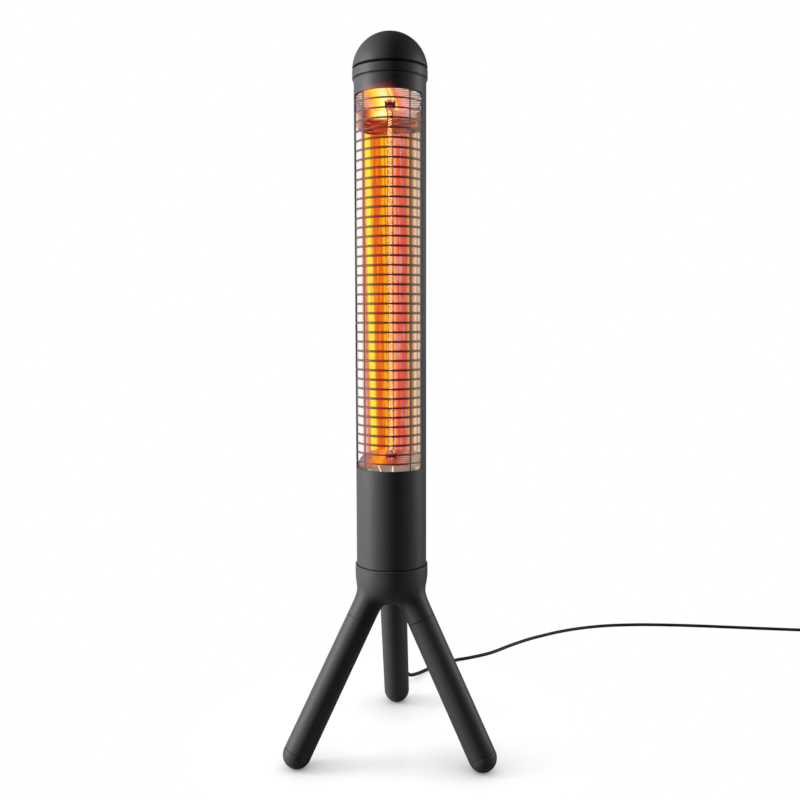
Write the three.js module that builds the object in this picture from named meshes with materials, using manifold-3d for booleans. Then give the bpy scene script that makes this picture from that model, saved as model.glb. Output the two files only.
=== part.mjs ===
// Infrared patio heater tower: a quartz lamp in an open-fronted tube that stands on a tripod.
// Millimetres, +Z up. The rear leg points to +Y, the window looks to -Y, and the feet stand on
// z = 0 with the origin in the middle of their footprint.

import * as THREE from "three";
import { mergeVertices } from "three/addons/utils/BufferGeometryUtils.js";
import Module from "manifold-3d";

const wasm = await Module();
wasm.setup();

const DEGREE = Math.PI / 180;

// ---------------------------------------------------------------- driving dimensions

// Fits
const FIT_GAP = 0.3; // between two pieces that touch
const MERGE_DISTANCE = 1e-4; // vertices closer than this are one
const CUT_OVERRUN = 2; // of a hole or cut past the faces that it opens

// Tripod
const LEG_TILT = 29 * DEGREE; // from the vertical
const LEG_RADIUS = 25.1;
const LEG_WALL = 2.5;
const LEG_APEX_HEIGHT = 361.3; // where the three leg axes meet
const HUB_STUB_LENGTH = 131; // from the apex to the joint line between hub and leg
const SPIGOT_LENGTH = 28; // of the stub that enters a leg
const SPIGOT_WALL = 3.3;
const JOINT_LINE = 0.6; // width of the fine lines at the leg joints
const FOOT_FLAT_DEPTH = 0.8; // of the flat worn on the round foot
const FOOT_CAP_RISE = 2; // joint line of the foot above the centre of its ball
const FOOT_PLUG_LENGTH = 14; // of the foot's plug in the leg
const LEG_SCREW_RADIUS = 2.5;
const LEG_SCREW_LENGTH = 7.5;
const LEG_SIDES = 20; // of the pieces of middling size

// Hub
const HUB_TOP_DROP = 18.9; // of its upper face below the apex of the leg axes
const COLLAR_OVERHANG = 2.4; // of its widest place past the tube
const NECK_LENGTH = 27; // of the ring that enters the tower tube
const NECK_WALL = 6;
const HUB_FLARE = 14; // what a stub's radius gains towards the collar
const HUB_FLARE_START = 50; // along the leg axis from the apex
const HUB_FLARE_END = 118;
const HUB_FLARE_STEPS = 4;
const COLLAR_DROP = 12; // of the collar's widest place below the hub's upper face
const COLLAR_CHAMFER = 1.2; // at the edge of that face
const HUB_BELL_HEIGHT = 67; // from the collar's widest place down to the bell's tip
const HUB_BELL_FULLNESS = 2.4; // exponent of the bell's outline, 2 for an ellipse
const HUB_BELL_STEPS = 6;
const HUB_BELL_WALL = 6; // at the tip

// Tower tube
const TOWER_TURN = -5.3 * DEGREE; // the tower is turned this much on the hub
const TUBE_RADIUS = 62.8;
const TUBE_WALL = 2.4;
const TUBE_RIM_FLARE = 2.5; // what the upper rim gains in radius
const TUBE_RIM_HEIGHT = 4.7; // of the flare
const HUB_SEAL_HEIGHT = 1.2;
const HUB_SEAL_INSET = 0.8; // of the seal's edge behind the tube's surface
const ROUND_SIDES = 36; // of the large round pieces
const SMALL_SIDES = 12; // of the small ones

// Window in the tube
const WINDOW_SILL = 175.4; // above the tube's lower end
const WINDOW_HEIGHT = 645.7;
const WINDOW_LINTEL = 28; // height of the tube above the window
const WINDOW_HALF_ANGLE = 69 * DEGREE;
const WINDOW_CORNER_RADIUS = 7;

// Guard in the window
const WIRE_RADIUS = 1.4;
const WIRE_SIDES = 4;
const WIRE_STEPS = 7;
const WIRE_PITCH = 16.28;
const WIRE_MARGIN = 14.4; // from the window's top edge to the first wire
const WIRE_LEAST_MARGIN = 8; // from the last wire to the window's bottom edge
const WIRE_WELD = 0.5; // depth of the weld between a wire and an upright
const UPRIGHT_ANGLE = 43 * DEGREE; // either side of the window's middle
const UPRIGHT_OVERRUN = 11; // past the window's edges, behind the tube wall

// Cap
const BAND_HEIGHT = 14.3;
const BAND_JOINT_LINE = 0.6;
const BAND_WALL = 5.7;
const BAND_NECK_LENGTH = 15;
const BAND_LEDGE = 3; // width of the ledge over the bridge
const BAND_LEDGE_DEPTH = 8; // thickness of that ledge
const CAP_GASKET_HEIGHT = 3.7;
const CAP_GASKET_INSET = 1; // of its edge behind the band's surface
const CAP_GASKET_WIDTH = 8;
const DOME_WALL = 3;
const DOME_BASE_RISE = 4.3; // of the dome's rim above the centre of its ball
const DOME_BOSS_RADIUS = 8;
const DOME_BOSS_RISE = 2; // of the boss's lower face above the dome's rim
const DOME_BOLT_DEPTH = 14; // of the tapped bore in the boss
const BRIDGE_WIDTH = 18;
const BRIDGE_THICKNESS = 4;
const CAP_BOLT_RADIUS = 2.5;
const CAP_BOLT_HEAD_RADIUS = 5;
const CAP_BOLT_HEAD_HEIGHT = 3.5;

// Reflector
const REFLECTOR_CLEARANCE = 2.8; // from the corners of its inner face to the tube
const REFLECTOR_SHEET = 0.8;
const REFLECTOR_EDGE_LAP = 3 * DEGREE; // of the front edges behind the window's edges
const REFLECTOR_BACK_ANGLE = 144 * DEGREE; // to the edge of the flat back
const REFLECTOR_FACETS = 4; // on each side, besides the flat back
const PLATE_THICKNESS = 1.2;
const PLATE_CLEARANCE = 0.3; // round the end plates
const TOP_PLATE_TILT = 6.7 * DEGREE; // the rear edge is the lower one
const TOP_PLATE_DROP = 6; // of its middle below the window's top edge
const BOTTOM_PLATE_TILT = 12 * DEGREE; // the rear edge is the upper one
const BOTTOM_PLATE_RISE = 12.4; // of its middle above the window's bottom edge
const WIREWAY_RADIUS = 3.5; // of the holes for the wire behind the reflector
const WIREWAY_SETBACK = 7.4; // of their middles from the tube's inner face

// Lamp
const QUARTZ_RADIUS = 5.5;
const QUARTZ_WALL = 1;
const LAMP_END_WALL = 1.1; // round the quartz tube
const LAMP_END_LENGTH = 33;
const LAMP_SOCKET_DEPTH = 14; // of the bore that takes the quartz tube
const LAMP_COLLAR_RISE = 1.9; // of the collar past the lamp end
const LAMP_COLLAR_HEIGHT = 3;
const LAMP_END_LIP = 4; // of a lamp end past its collar
const CLIP_WALL = 2;
const CLIP_HEIGHT = 6;
const CLIP_STANDOFF = 4; // from the end plate to the clip's ring
const CLIP_POST_WIDTH = 6;
const CLIP_SIDES = 16; // of the lamp clips and the plug
const FILAMENT_RADIUS = 2.3; // of the helix
const FILAMENT_WIRE_RADIUS = 0.6;
const FILAMENT_TURNS = 20;
const FILAMENT_STEPS = 8; // for each turn
const FILAMENT_TAIL = 8; // length of each straight end

// Wiring
const LEAD_RADIUS = 1.2;
const LEAD_SIDES = 5;

// Chassis in the lower part of the tube
const CHASSIS_SHEET = 1.5;
const CHASSIS_WIDTH = 70;
const CHASSIS_CLEARANCE = 31; // of the upright sheet below the reflector's lower end plate
const CHASSIS_SETBACK = 6; // of the upright sheet behind the tower's axis
const CHASSIS_CORD_PLAY = 1.65; // round the cord, in its hole
const CHASSIS_WIRE_PLAY = 2.8; // round the switch's wires, in theirs
const TERMINAL_SIZE = [48, 15.7, 16];
const TERMINAL_RISE = 96.1; // of its lower face above the tube's lower end
const THERMAL_RADIUS = 8;
const THERMAL_HEIGHT = 6;
const THERMAL_OFFSET = 27;
const THERMAL_FLANGE = 1; // past the can
const THERMAL_FLANGE_HEIGHT = 1.5;
const SMALL_SCREW_RADIUS = 1.6;
const SMALL_SCREW_HEAD_RADIUS = 3;
const SMALL_SCREW_HEAD_HEIGHT = 1.8;
const SMALL_SCREW_LENGTH = 8;

// Tip-over switch
const TILT_CASE_SIZE = [32, 14, 36];
const TILT_CASE_WALL = 2;
const TILT_CASE_OFFSET = 25; // of its middle to the left of the tower's axis
const TILT_CASE_DROP = 18; // of its top below the terminals
const TILT_PIN_RADIUS = 1.2;
const TILT_PIN_DROP = 8; // of the pin below the case's top
const TILT_ARM_WIDTH = 3;
const TILT_ARM_LENGTH = 13;
const TILT_ARM_THICKNESS = 4;
const TILT_WEIGHT_RADIUS = 4.5;
const TILT_WEIGHT_THICKNESS = 6;
const TILT_PLAY = 2; // between the arm and the case behind it
const TILT_PIN_SHORT = 1; // of the pin's end behind the case's open face

// Mains switch on the tube's back
const SWITCH_RISE = 96.1; // of its pivot above the tube's lower end
const SWITCH_BARREL_RADIUS = 10.3;
const SWITCH_FLANGE_RADIUS = 12.8;
const SWITCH_FLANGE_RISE = 2.5; // above the tube's surface
const SWITCH_DEPTH = 20;
const ROCKER_WIDTH = 7.4;
const ROCKER_HALF_HEIGHT = 6.2;
const ROCKER_REACH = 6.4; // from the pivot to the corners of the face
const ROCKER_BACK = 3; // from the pivot to the flat back
const ROCKER_TILT = 12 * DEGREE;
const ROCKER_PIN_RADIUS = 1.2;
const ROCKER_PIN_LENGTH = 1.2;
const ROCKER_POCKET_GAP = 0.6;

// Side screws of hub and cap
const SIDE_SCREW_RADIUS = 2;
const SIDE_SCREW_HEAD_RADIUS = 3.6;
const SIDE_SCREW_HEAD_HEIGHT = 1.9;
const SIDE_SCREW_LENGTH = 6;
const SIDE_SCREW_ANGLES = { right: 120 * DEGREE, rear: 180 * DEGREE, left: 240 * DEGREE };
const CAP_SCREW_CLEARANCE = 1.5; // between the cap screws' heads and the rim's flare
const SCREW_SIDES = 6;

// Cord, gland and plug
const CORD_RADIUS = 3.75;
const CORD_SIDES = 8;
const INNER_CORD_SIDES = 6;
const CORD_STEPS = 56;
const CORD_FLOOR_HEIGHT = 3.9; // of the cord's middle where it lies on the floor
const GLAND_SETBACK = 31.3; // above the joint line of the rear foot, along the leg
const GLAND_RADIUS = 8;
const GLAND_FLANGE_RADIUS = 11.5;
const GLAND_FLANGE_THICKNESS = 3;
const GLAND_TAIL_LENGTH = 13.6;
const GLAND_TAIL_RADIUS = 5.4;
const GLAND_THREAD_RUNOUT = 1; // of the thread past the nut
const GLAND_NUT_RADIUS = 12;
const GLAND_NUT_THICKNESS = 3.6;
const COIL_TURNS = 4;
const COIL_STEPS = 24; // for each turn
const COIL_SIDES = 6;
const COIL_OUTER_RADIUS = 50; // to the cord's middle on the first turn
const COIL_SPACING = 8.3; // between turns and between layers
const COIL_HEADING = -4.5 * DEGREE; // of the cord where it enters the coil
const COIL_TAIL = 45; // from the last turn to the plug
const PLUG_RADIUS = 19;
const PLUG_LENGTH = 34;
const PLUG_NECK_RADIUS = 6.5;
const PLUG_NECK_LENGTH = 14;
const PLUG_NECK_FLARE = 2; // what the neck gains in radius towards the plug
const PLUG_CHAMFER = 3;
const PLUG_PIN_RADIUS = 2.4;
const PLUG_PIN_LENGTH = 19;
const PLUG_PIN_SPACING = 19;
const PLUG_PIN_SOCKET = 8;
const PLUG_PIN_CHAMFER = 1.2;

// The cord's route over the floor, from the gland behind the rear leg to the coil
const CORD_ROUTE = [
  [0, 175, 78],
  [2, 192, 76],
  [6, 208, 64],
  [10, 219, 46],
  [15, 226, 29],
  [23, 236, 15.5],
  [40, 261, 8],
  [61, 292, 5],
  [91, 325, CORD_FLOOR_HEIGHT],
  [124, 350, CORD_FLOOR_HEIGHT],
  [158, 367, CORD_FLOOR_HEIGHT],
  [206, 397, CORD_FLOOR_HEIGHT],
  [257, 447, CORD_FLOOR_HEIGHT],
  [309, 493, CORD_FLOOR_HEIGHT],
  [349, 521, CORD_FLOOR_HEIGHT],
  [383, 543, CORD_FLOOR_HEIGHT],
  [438, 570, CORD_FLOOR_HEIGHT],
  [507, 592, CORD_FLOOR_HEIGHT],
  [587, 603, CORD_FLOOR_HEIGHT],
  [667, 604, CORD_FLOOR_HEIGHT],
  [747, 600, CORD_FLOOR_HEIGHT],
  [828, 593, CORD_FLOOR_HEIGHT],
  [908, 586, CORD_FLOOR_HEIGHT],
];
const COIL_ENTRY = [1046, 575]; // where the cord's straight stretch ends and the coil begins

// ---------------------------------------------------------------- what follows from them

const LEG_INNER_RADIUS = LEG_RADIUS - LEG_WALL;
const SPIGOT_RADIUS = LEG_INNER_RADIUS - FIT_GAP;
const HUB_BORE_RADIUS = SPIGOT_RADIUS - SPIGOT_WALL;
const FOOT_BALL_HEIGHT = LEG_RADIUS - FOOT_FLAT_DEPTH;
const FOOT_BALL_PLACE = (LEG_APEX_HEIGHT - FOOT_BALL_HEIGHT) / Math.cos(LEG_TILT);
const FOOT_JOINT_PLACE = FOOT_BALL_PLACE - FOOT_CAP_RISE;
const FOOT_REACH = FOOT_BALL_PLACE * Math.sin(LEG_TILT);
const TOWER_Y = -FOOT_REACH / 4; // puts the middle of the footprint at the origin
const LEG_TURNS = { rear: 0, front_left: 120 * DEGREE, front_right: -120 * DEGREE };

const COLLAR_RADIUS = TUBE_RADIUS + COLLAR_OVERHANG;
const TUBE_INNER_RADIUS = TUBE_RADIUS - TUBE_WALL;
const TUBE_RIM_RADIUS = TUBE_RADIUS + TUBE_RIM_FLARE;
const HUB_TOP = LEG_APEX_HEIGHT - HUB_TOP_DROP;
const TUBE_BOTTOM = HUB_TOP + HUB_SEAL_HEIGHT + FIT_GAP;
const NECK_RADIUS = TUBE_INNER_RADIUS - FIT_GAP;
const NECK_TOP = TUBE_BOTTOM + NECK_LENGTH;

const WINDOW_BOTTOM = TUBE_BOTTOM + WINDOW_SILL;
const WINDOW_TOP = WINDOW_BOTTOM + WINDOW_HEIGHT;
const TUBE_TOP = WINDOW_TOP + WINDOW_LINTEL;
const UPRIGHT_RADIUS = TUBE_INNER_RADIUS - FIT_GAP - WIRE_RADIUS;
const GUARD_RADIUS = UPRIGHT_RADIUS + 2 * WIRE_RADIUS - WIRE_WELD;
const WIRE_SPAN = WINDOW_HEIGHT - WIRE_MARGIN - WIRE_LEAST_MARGIN;
const WIRE_COUNT = Math.floor(WIRE_SPAN / WIRE_PITCH) + 1;

const BAND_RADIUS = TUBE_RIM_RADIUS;
const BAND_BOTTOM = TUBE_TOP + BAND_JOINT_LINE;
const BAND_TOP = BAND_BOTTOM + BAND_HEIGHT;
const BAND_INNER_RADIUS = NECK_RADIUS - BAND_WALL + BAND_LEDGE;
const LEDGE_BOTTOM = BAND_TOP - BAND_LEDGE_DEPTH;
const GASKET_BOTTOM = BAND_TOP + FIT_GAP;
const DOME_BOTTOM = GASKET_BOTTOM + CAP_GASKET_HEIGHT + FIT_GAP;
const DOME_RADIUS = BAND_RADIUS;
const DOME_CENTRE = DOME_BOTTOM - DOME_BASE_RISE;
const DOME_BOSS_BOTTOM = DOME_BOTTOM + DOME_BOSS_RISE;
const BRIDGE_TOP = LEDGE_BOTTOM - FIT_GAP;
const BRIDGE_BOTTOM = BRIDGE_TOP - BRIDGE_THICKNESS;

const REFLECTOR_RADIUS = TUBE_INNER_RADIUS - REFLECTOR_CLEARANCE;
const REFLECTOR_EDGE_ANGLE = WINDOW_HALF_ANGLE + REFLECTOR_EDGE_LAP;
const WIREWAY_OFFSET = TUBE_INNER_RADIUS - WIREWAY_SETBACK;
const LAMP_END_RADIUS = QUARTZ_RADIUS + FIT_GAP + LAMP_END_WALL;
const LAMP_COLLAR_RADIUS = LAMP_END_RADIUS + LAMP_COLLAR_RISE;
const TOP_PLATE_HEIGHT = WINDOW_TOP - TOP_PLATE_DROP;
const BOTTOM_PLATE_HEIGHT = WINDOW_BOTTOM + BOTTOM_PLATE_RISE;
const CHASSIS_BOTTOM = NECK_TOP + FIT_GAP;
const CHASSIS_TOP = CHASSIS_BOTTOM + CHASSIS_SHEET;
const CHASSIS_SHEET_TOP = BOTTOM_PLATE_HEIGHT - CHASSIS_CLEARANCE;
const TERMINAL_BOTTOM = TUBE_BOTTOM + TERMINAL_RISE;
const SWITCH_HEIGHT = TUBE_BOTTOM + SWITCH_RISE;

const GLAND_PLACE = FOOT_JOINT_PLACE - GLAND_SETBACK;
const GLAND_SHOULDER = LEG_RADIUS + FIT_GAP;
const GLAND_FRONT = GLAND_SHOULDER + GLAND_FLANGE_THICKNESS;
const GLAND_TIP = GLAND_FRONT + GLAND_TAIL_LENGTH;
const GLAND_NUT_FACE = Math.sqrt(LEG_INNER_RADIUS ** 2 - GLAND_NUT_RADIUS ** 2) - 2 * FIT_GAP;
const GLAND_THREAD_END = GLAND_NUT_FACE - GLAND_NUT_THICKNESS - GLAND_THREAD_RUNOUT;

// ---------------------------------------------------------------- materials

const material = (color, roughness, metalness, extra = {}) =>
  new THREE.MeshStandardMaterial({ color, roughness, metalness, ...extra });

const POWDER_COAT = material(0x3c3c3e, 0.62, 0.25);
const GUARD_COAT = material(0x40383c, 0.5, 0.4);
const POLISHED = material(0xd8d4cc, 0.08, 1);
const STEEL = material(0x9a9a9c, 0.35, 1);
const DARK_STEEL = material(0x4a4a4c, 0.45, 0.9);
const BRASS = material(0xb08d48, 0.35, 1);
const RUBBER = material(0x101011, 0.85, 0);
const FOOT_RUBBER = material(0x303031, 0.75, 0);
const BLACK_PLASTIC = material(0x161617, 0.5, 0);
const PALE_PLASTIC = material(0xd9d5c8, 0.55, 0);
const CERAMIC = material(0xe8e2d4, 0.6, 0);
const QUARTZ = material(0xfff0dc, 0.05, 0, { transparent: true, opacity: 0.35 });
const FILAMENT = material(0xffb060, 0.7, 0.2, { emissive: 0xff7a20 });
const LEAD_SLEEVE = material(0xc9c3b4, 0.8, 0);

// ---------------------------------------------------------------- solids and cuts

/** A closed manifold of a geometry, its seams merged and its faces pointing out. */
function solidOf(geometry) {
  const shell = geometry.clone();
  shell.deleteAttribute("normal");
  shell.deleteAttribute("uv");
  const merged = mergeVertices(shell, MERGE_DISTANCE);
  const places = merged.attributes.position.array;
  const corners = merged.index.array;
  const faces = [];
  let volume = 0;
  for (let i = 0; i < corners.length; i += 3) {
    const [a, b, c] = corners.slice(i, i + 3);
    if (a === b || b === c || c === a) continue;
    faces.push([a, b, c]);
    const [p, q, r] = [a, b, c].map((corner) => new THREE.Vector3().fromArray(places, 3 * corner));
    volume += p.dot(q.cross(r));
  }
  const outward = volume > 0 ? faces : faces.map(([a, b, c]) => [a, c, b]);
  const mesh = new wasm.Mesh({
    numProp: 3,
    vertProperties: new Float32Array(places),
    triVerts: new Uint32Array(outward.flat()),
  });
  return new wasm.Manifold(mesh);
}

function geometryOf(solid) {
  const mesh = solid.getMesh();
  const geometry = new THREE.BufferGeometry();
  geometry.setAttribute("position", new THREE.BufferAttribute(mesh.vertProperties, 3));
  geometry.setIndex(new THREE.BufferAttribute(mesh.triVerts, 1));
  geometry.computeVertexNormals();
  return geometry;
}

const join = (first, ...others) =>
  geometryOf(others.reduce((sum, other) => sum.add(solidOf(other)), solidOf(first)));
const cut = (body, ...tools) =>
  geometryOf(tools.reduce((rest, tool) => rest.subtract(solidOf(tool)), solidOf(body)));
const common = (first, second) => geometryOf(solidOf(first).intersect(solidOf(second)));

// ---------------------------------------------------------------- basic shapes

/** A body turned about Z from [radius, height] points. */
function turned(profile, sides = ROUND_SIDES) {
  const points = profile.map(([radius, height]) => new THREE.Vector2(radius, height));
  return new THREE.LatheGeometry(points, sides).rotateX(Math.PI / 2);
}

/** A ring turned about Z; its profile closes on itself. */
const ring = (profile, sides = ROUND_SIDES) => turned([...profile, profile[0]], sides);

const disc = (radius, bottom, top, sides = ROUND_SIDES) =>
  turned([[0, bottom], [radius, bottom], [radius, top], [0, top]], sides);

/** A tube standing on end, open at both ends. */
const sleeve = (outer, inner, bottom, top, sides = ROUND_SIDES) =>
  ring([[outer, bottom], [outer, top], [inner, top], [inner, bottom]], sides);

function block(width, depth, height, x = 0, y = 0, z = 0) {
  return new THREE.BoxGeometry(width, depth, height).translate(x, y, z);
}

/** A polygon with the given number of sides, as a section for pipes. */
function section(radius, sides) {
  const corner = (index) => (index + 0.5) * ((2 * Math.PI) / sides);
  const points = Array.from({ length: sides }, (_, index) =>
    new THREE.Vector2(radius * Math.cos(corner(index)), radius * Math.sin(corner(index))));
  return new THREE.Shape(points);
}

function pipe(curve, radius, sides, steps) {
  return new THREE.ExtrudeGeometry(section(radius, sides), { extrudePath: curve, steps });
}

const vectors = (points) => points.map((point) => new THREE.Vector3(...point));
const curveThrough = (points) => new THREE.CatmullRomCurve3(vectors(points), false, "centripetal");

/** A smooth route that is stepped evenly from point to point, so that its bends get more steps. */
class Route extends THREE.CatmullRomCurve3 {
  constructor(points) {
    super(vectors(points), false, "centripetal");
  }

  getPointAt(t, target) {
    return this.getPoint(t, target);
  }

  getTangentAt(t, target) {
    return this.getTangent(t, target);
  }
}

function routedPipe(points, radius, sides) {
  return pipe(new Route(points), radius, sides, 2 * (points.length - 1));
}

/** Turns a body from its upright axis to one that points away from the tower at an angle. */
const outwards = (geometry, angle) => geometry.rotateX(Math.PI / 2).rotateZ(angle);

/** Moves a body from the upright axis, with its origin at the apex, onto a leg. */
const alongLeg = (geometry, turn) =>
  geometry.rotateX(LEG_TILT).translate(0, 0, LEG_APEX_HEIGHT).rotateZ(turn);

/** Least clear gap of a tube to itself, between points at least a number of steps apart on it. */
function leastGap(points, tubeRadius, stepsApart) {
  let least = Infinity;
  for (let i = 0; i < points.length; i += 1) {
    for (let j = i + stepsApart; j < points.length; j += 1) {
      least = Math.min(least, points[i].distanceTo(points[j]));
    }
  }
  return least - 2 * tubeRadius;
}

// ---------------------------------------------------------------- assembly

const heater = new THREE.Group();
const tripod = new THREE.Group();
const tower = new THREE.Group();
tripod.position.y = TOWER_Y;
tower.position.y = TOWER_Y;
tower.rotation.z = TOWER_TURN;
heater.add(tripod, tower);

function addPiece(parent, name, geometry, finish) {
  const mesh = new THREE.Mesh(geometryOf(solidOf(geometry)), finish.clone());
  mesh.name = name;
  parent.add(mesh);
}

// ---------------------------------------------------------------- screws

/** A pan-head screw about Z: its head stands on z = 0 and its shank goes down. */
function panScrew(radius, length, headRadius, headHeight) {
  return turned([
    [0, -length],
    [radius, -length],
    [radius, 0],
    [headRadius, 0],
    [headRadius, headHeight * 0.6],
    [headRadius * 0.7, headHeight],
    [0, headHeight],
  ], SCREW_SIDES);
}

/** The hole for a side screw, through tube and neck. */
function sideScrewHole(angle, height) {
  const end = NECK_RADIUS - NECK_WALL - CUT_OVERRUN;
  const hole = disc(SIDE_SCREW_RADIUS + FIT_GAP, end, TUBE_RADIUS + CUT_OVERRUN, SCREW_SIDES);
  return outwards(hole, angle).translate(0, 0, height);
}

function addSideScrews(prefix, height) {
  for (const [side, angle] of Object.entries(SIDE_SCREW_ANGLES)) {
    const screw = panScrew(
      SIDE_SCREW_RADIUS, SIDE_SCREW_LENGTH, SIDE_SCREW_HEAD_RADIUS, SIDE_SCREW_HEAD_HEIGHT);
    screw.translate(0, 0, TUBE_RADIUS + FIT_GAP);
    addPiece(tower, `${prefix}_screw_${side}`, outwards(screw, angle).translate(0, 0, height), STEEL);
  }
}

const sideScrewHoles = (height) =>
  Object.values(SIDE_SCREW_ANGLES).map((angle) => sideScrewHole(angle, height));

const HUB_SCREW_HEIGHT = TUBE_BOTTOM + NECK_LENGTH / 2;
const CAP_SCREW_HEIGHT = TUBE_TOP - TUBE_RIM_HEIGHT - SIDE_SCREW_HEAD_RADIUS - CAP_SCREW_CLEARANCE;
const CHASSIS_SCREW_OFFSET = NECK_RADIUS - NECK_WALL / 2;

// ---------------------------------------------------------------- tripod

/** One stub of the hub: it flares towards the collar and ends in the spigot for a leg. */
function hubStub(turn) {
  const profile = [[0, -HUB_FLARE_START]];
  for (let step = 0; step <= HUB_FLARE_STEPS; step += 1) {
    const left = 1 - step / HUB_FLARE_STEPS;
    const place = HUB_FLARE_END - left * (HUB_FLARE_END - HUB_FLARE_START);
    profile.push([LEG_RADIUS + HUB_FLARE * left * left, -place]);
  }
  const spigotEnd = HUB_STUB_LENGTH + SPIGOT_LENGTH;
  profile.push([LEG_RADIUS, -HUB_STUB_LENGTH], [SPIGOT_RADIUS, -HUB_STUB_LENGTH]);
  profile.push([SPIGOT_RADIUS, -spigotEnd], [0, -spigotEnd]);
  return alongLeg(turned(profile, LEG_SIDES), turn);
}

function legScrewBody(radius, clearance) {
  const inner = LEG_RADIUS - LEG_SCREW_LENGTH - clearance;
  const outer = LEG_RADIUS - FIT_GAP + (clearance > 0 ? LEG_WALL : 0);
  const place = HUB_STUB_LENGTH + SPIGOT_LENGTH / 2;
  return disc(radius + clearance, inner, outer, SCREW_SIDES).rotateX(Math.PI / 2).translate(0, 0, -place);
}

/** A bell that hangs from the collar's widest place, as [radius, height] points from its tip up. */
function bellProfile(radius, height) {
  const widest = HUB_TOP - COLLAR_DROP;
  const profile = [[0, widest - height]];
  for (let step = 1; step <= HUB_BELL_STEPS; step += 1) {
    const angle = (step / HUB_BELL_STEPS) * (Math.PI / 2);
    const drop = step === HUB_BELL_STEPS ? 0 : height * Math.cos(angle) ** (2 / HUB_BELL_FULLNESS);
    profile.push([radius * Math.sin(angle) ** (2 / HUB_BELL_FULLNESS), widest - drop]);
  }
  return profile;
}

function hubCasting() {
  const body = turned([
    ...bellProfile(COLLAR_RADIUS, HUB_BELL_HEIGHT),
    [COLLAR_RADIUS - COLLAR_CHAMFER / 4, HUB_TOP - COLLAR_DROP / 2],
    [COLLAR_RADIUS - COLLAR_CHAMFER, HUB_TOP],
    [NECK_RADIUS, HUB_TOP],
    [NECK_RADIUS, NECK_TOP],
    [0, NECK_TOP],
  ]);
  const hollowRadius = NECK_RADIUS - NECK_WALL;
  const hollow = turned([
    ...bellProfile(hollowRadius, HUB_BELL_HEIGHT - HUB_BELL_WALL),
    [hollowRadius, NECK_TOP + CUT_OVERRUN],
    [0, NECK_TOP + CUT_OVERRUN],
  ], LEG_SIDES);
  const boreEnd = HUB_STUB_LENGTH + SPIGOT_LENGTH + CUT_OVERRUN;
  const turns = Object.values(LEG_TURNS);
  const bores = turns.map((turn) =>
    alongLeg(disc(HUB_BORE_RADIUS, -boreEnd, -HUB_FLARE_START, SMALL_SIDES), turn));
  const legScrewHoles = turns.map((turn) => alongLeg(legScrewBody(LEG_SCREW_RADIUS, FIT_GAP), turn));
  const chassisHoles = [-1, 1].map((side) =>
    disc(SMALL_SCREW_RADIUS + FIT_GAP, NECK_TOP - SMALL_SCREW_LENGTH, NECK_TOP + CUT_OVERRUN, SCREW_SIDES)
      .translate(side * CHASSIS_SCREW_OFFSET, 0, 0));
  const towerHoles = [...sideScrewHoles(HUB_SCREW_HEIGHT), ...chassisHoles];
  const turnedHoles = towerHoles.map((hole) => hole.rotateZ(TOWER_TURN));
  const outside = join(body.rotateZ(TOWER_TURN), ...turns.map(hubStub));
  return cut(outside, hollow, ...bores, ...legScrewHoles, ...turnedHoles);
}

function legTube(holes = []) {
  const top = -HUB_STUB_LENGTH - JOINT_LINE;
  const bottom = -FOOT_JOINT_PLACE + JOINT_LINE;
  const tube = sleeve(LEG_RADIUS, LEG_INNER_RADIUS, bottom, top, LEG_SIDES);
  return cut(tube, legScrewBody(LEG_SCREW_RADIUS, FIT_GAP), ...holes);
}

function footCap() {
  const arcSteps = 6;
  const profile = [
    [0, -FOOT_JOINT_PLACE + FOOT_PLUG_LENGTH],
    [SPIGOT_RADIUS, -FOOT_JOINT_PLACE + FOOT_PLUG_LENGTH],
    [SPIGOT_RADIUS, -FOOT_JOINT_PLACE],
    [LEG_RADIUS, -FOOT_JOINT_PLACE],
  ];
  for (let step = 0; step <= arcSteps; step += 1) {
    const angle = (step / arcSteps) * (Math.PI / 2);
    const radius = step === arcSteps ? 0 : LEG_RADIUS * Math.cos(angle);
    profile.push([radius, -FOOT_BALL_PLACE - LEG_RADIUS * Math.sin(angle)]);
  }
  return turned(profile, LEG_SIDES);
}

function glandHole() {
  const hole = disc(GLAND_RADIUS + FIT_GAP, 0, LEG_RADIUS + CUT_OVERRUN, SMALL_SIDES);
  return hole.rotateX(-Math.PI / 2).translate(0, 0, -GLAND_PLACE);
}

/** Moves a body about Z, with its base on the leg's axis, to the gland's place on the rear leg. */
const atGland = (geometry) =>
  alongLeg(geometry.rotateX(-Math.PI / 2).translate(0, 0, -GLAND_PLACE), LEG_TURNS.rear);

addPiece(tripod, "hub_casting", hubCasting(), POWDER_COAT);
for (const [side, turn] of Object.entries(LEG_TURNS)) {
  const holes = side === "rear" ? [glandHole()] : [];
  const floorCut = block(4 * LEG_RADIUS, 4 * LEG_RADIUS, LEG_RADIUS, 0, FOOT_REACH, -LEG_RADIUS / 2);
  const foot = cut(alongLeg(footCap(), turn), floorCut.rotateZ(turn));
  addPiece(tripod, `leg_${side}`, alongLeg(legTube(holes), turn), POWDER_COAT);
  addPiece(tripod, `foot_${side}`, foot, FOOT_RUBBER);
  addPiece(tripod, `leg_screw_${side}`, alongLeg(legScrewBody(LEG_SCREW_RADIUS, 0), turn), STEEL);
}

// ---------------------------------------------------------------- tower tube and guard

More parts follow.
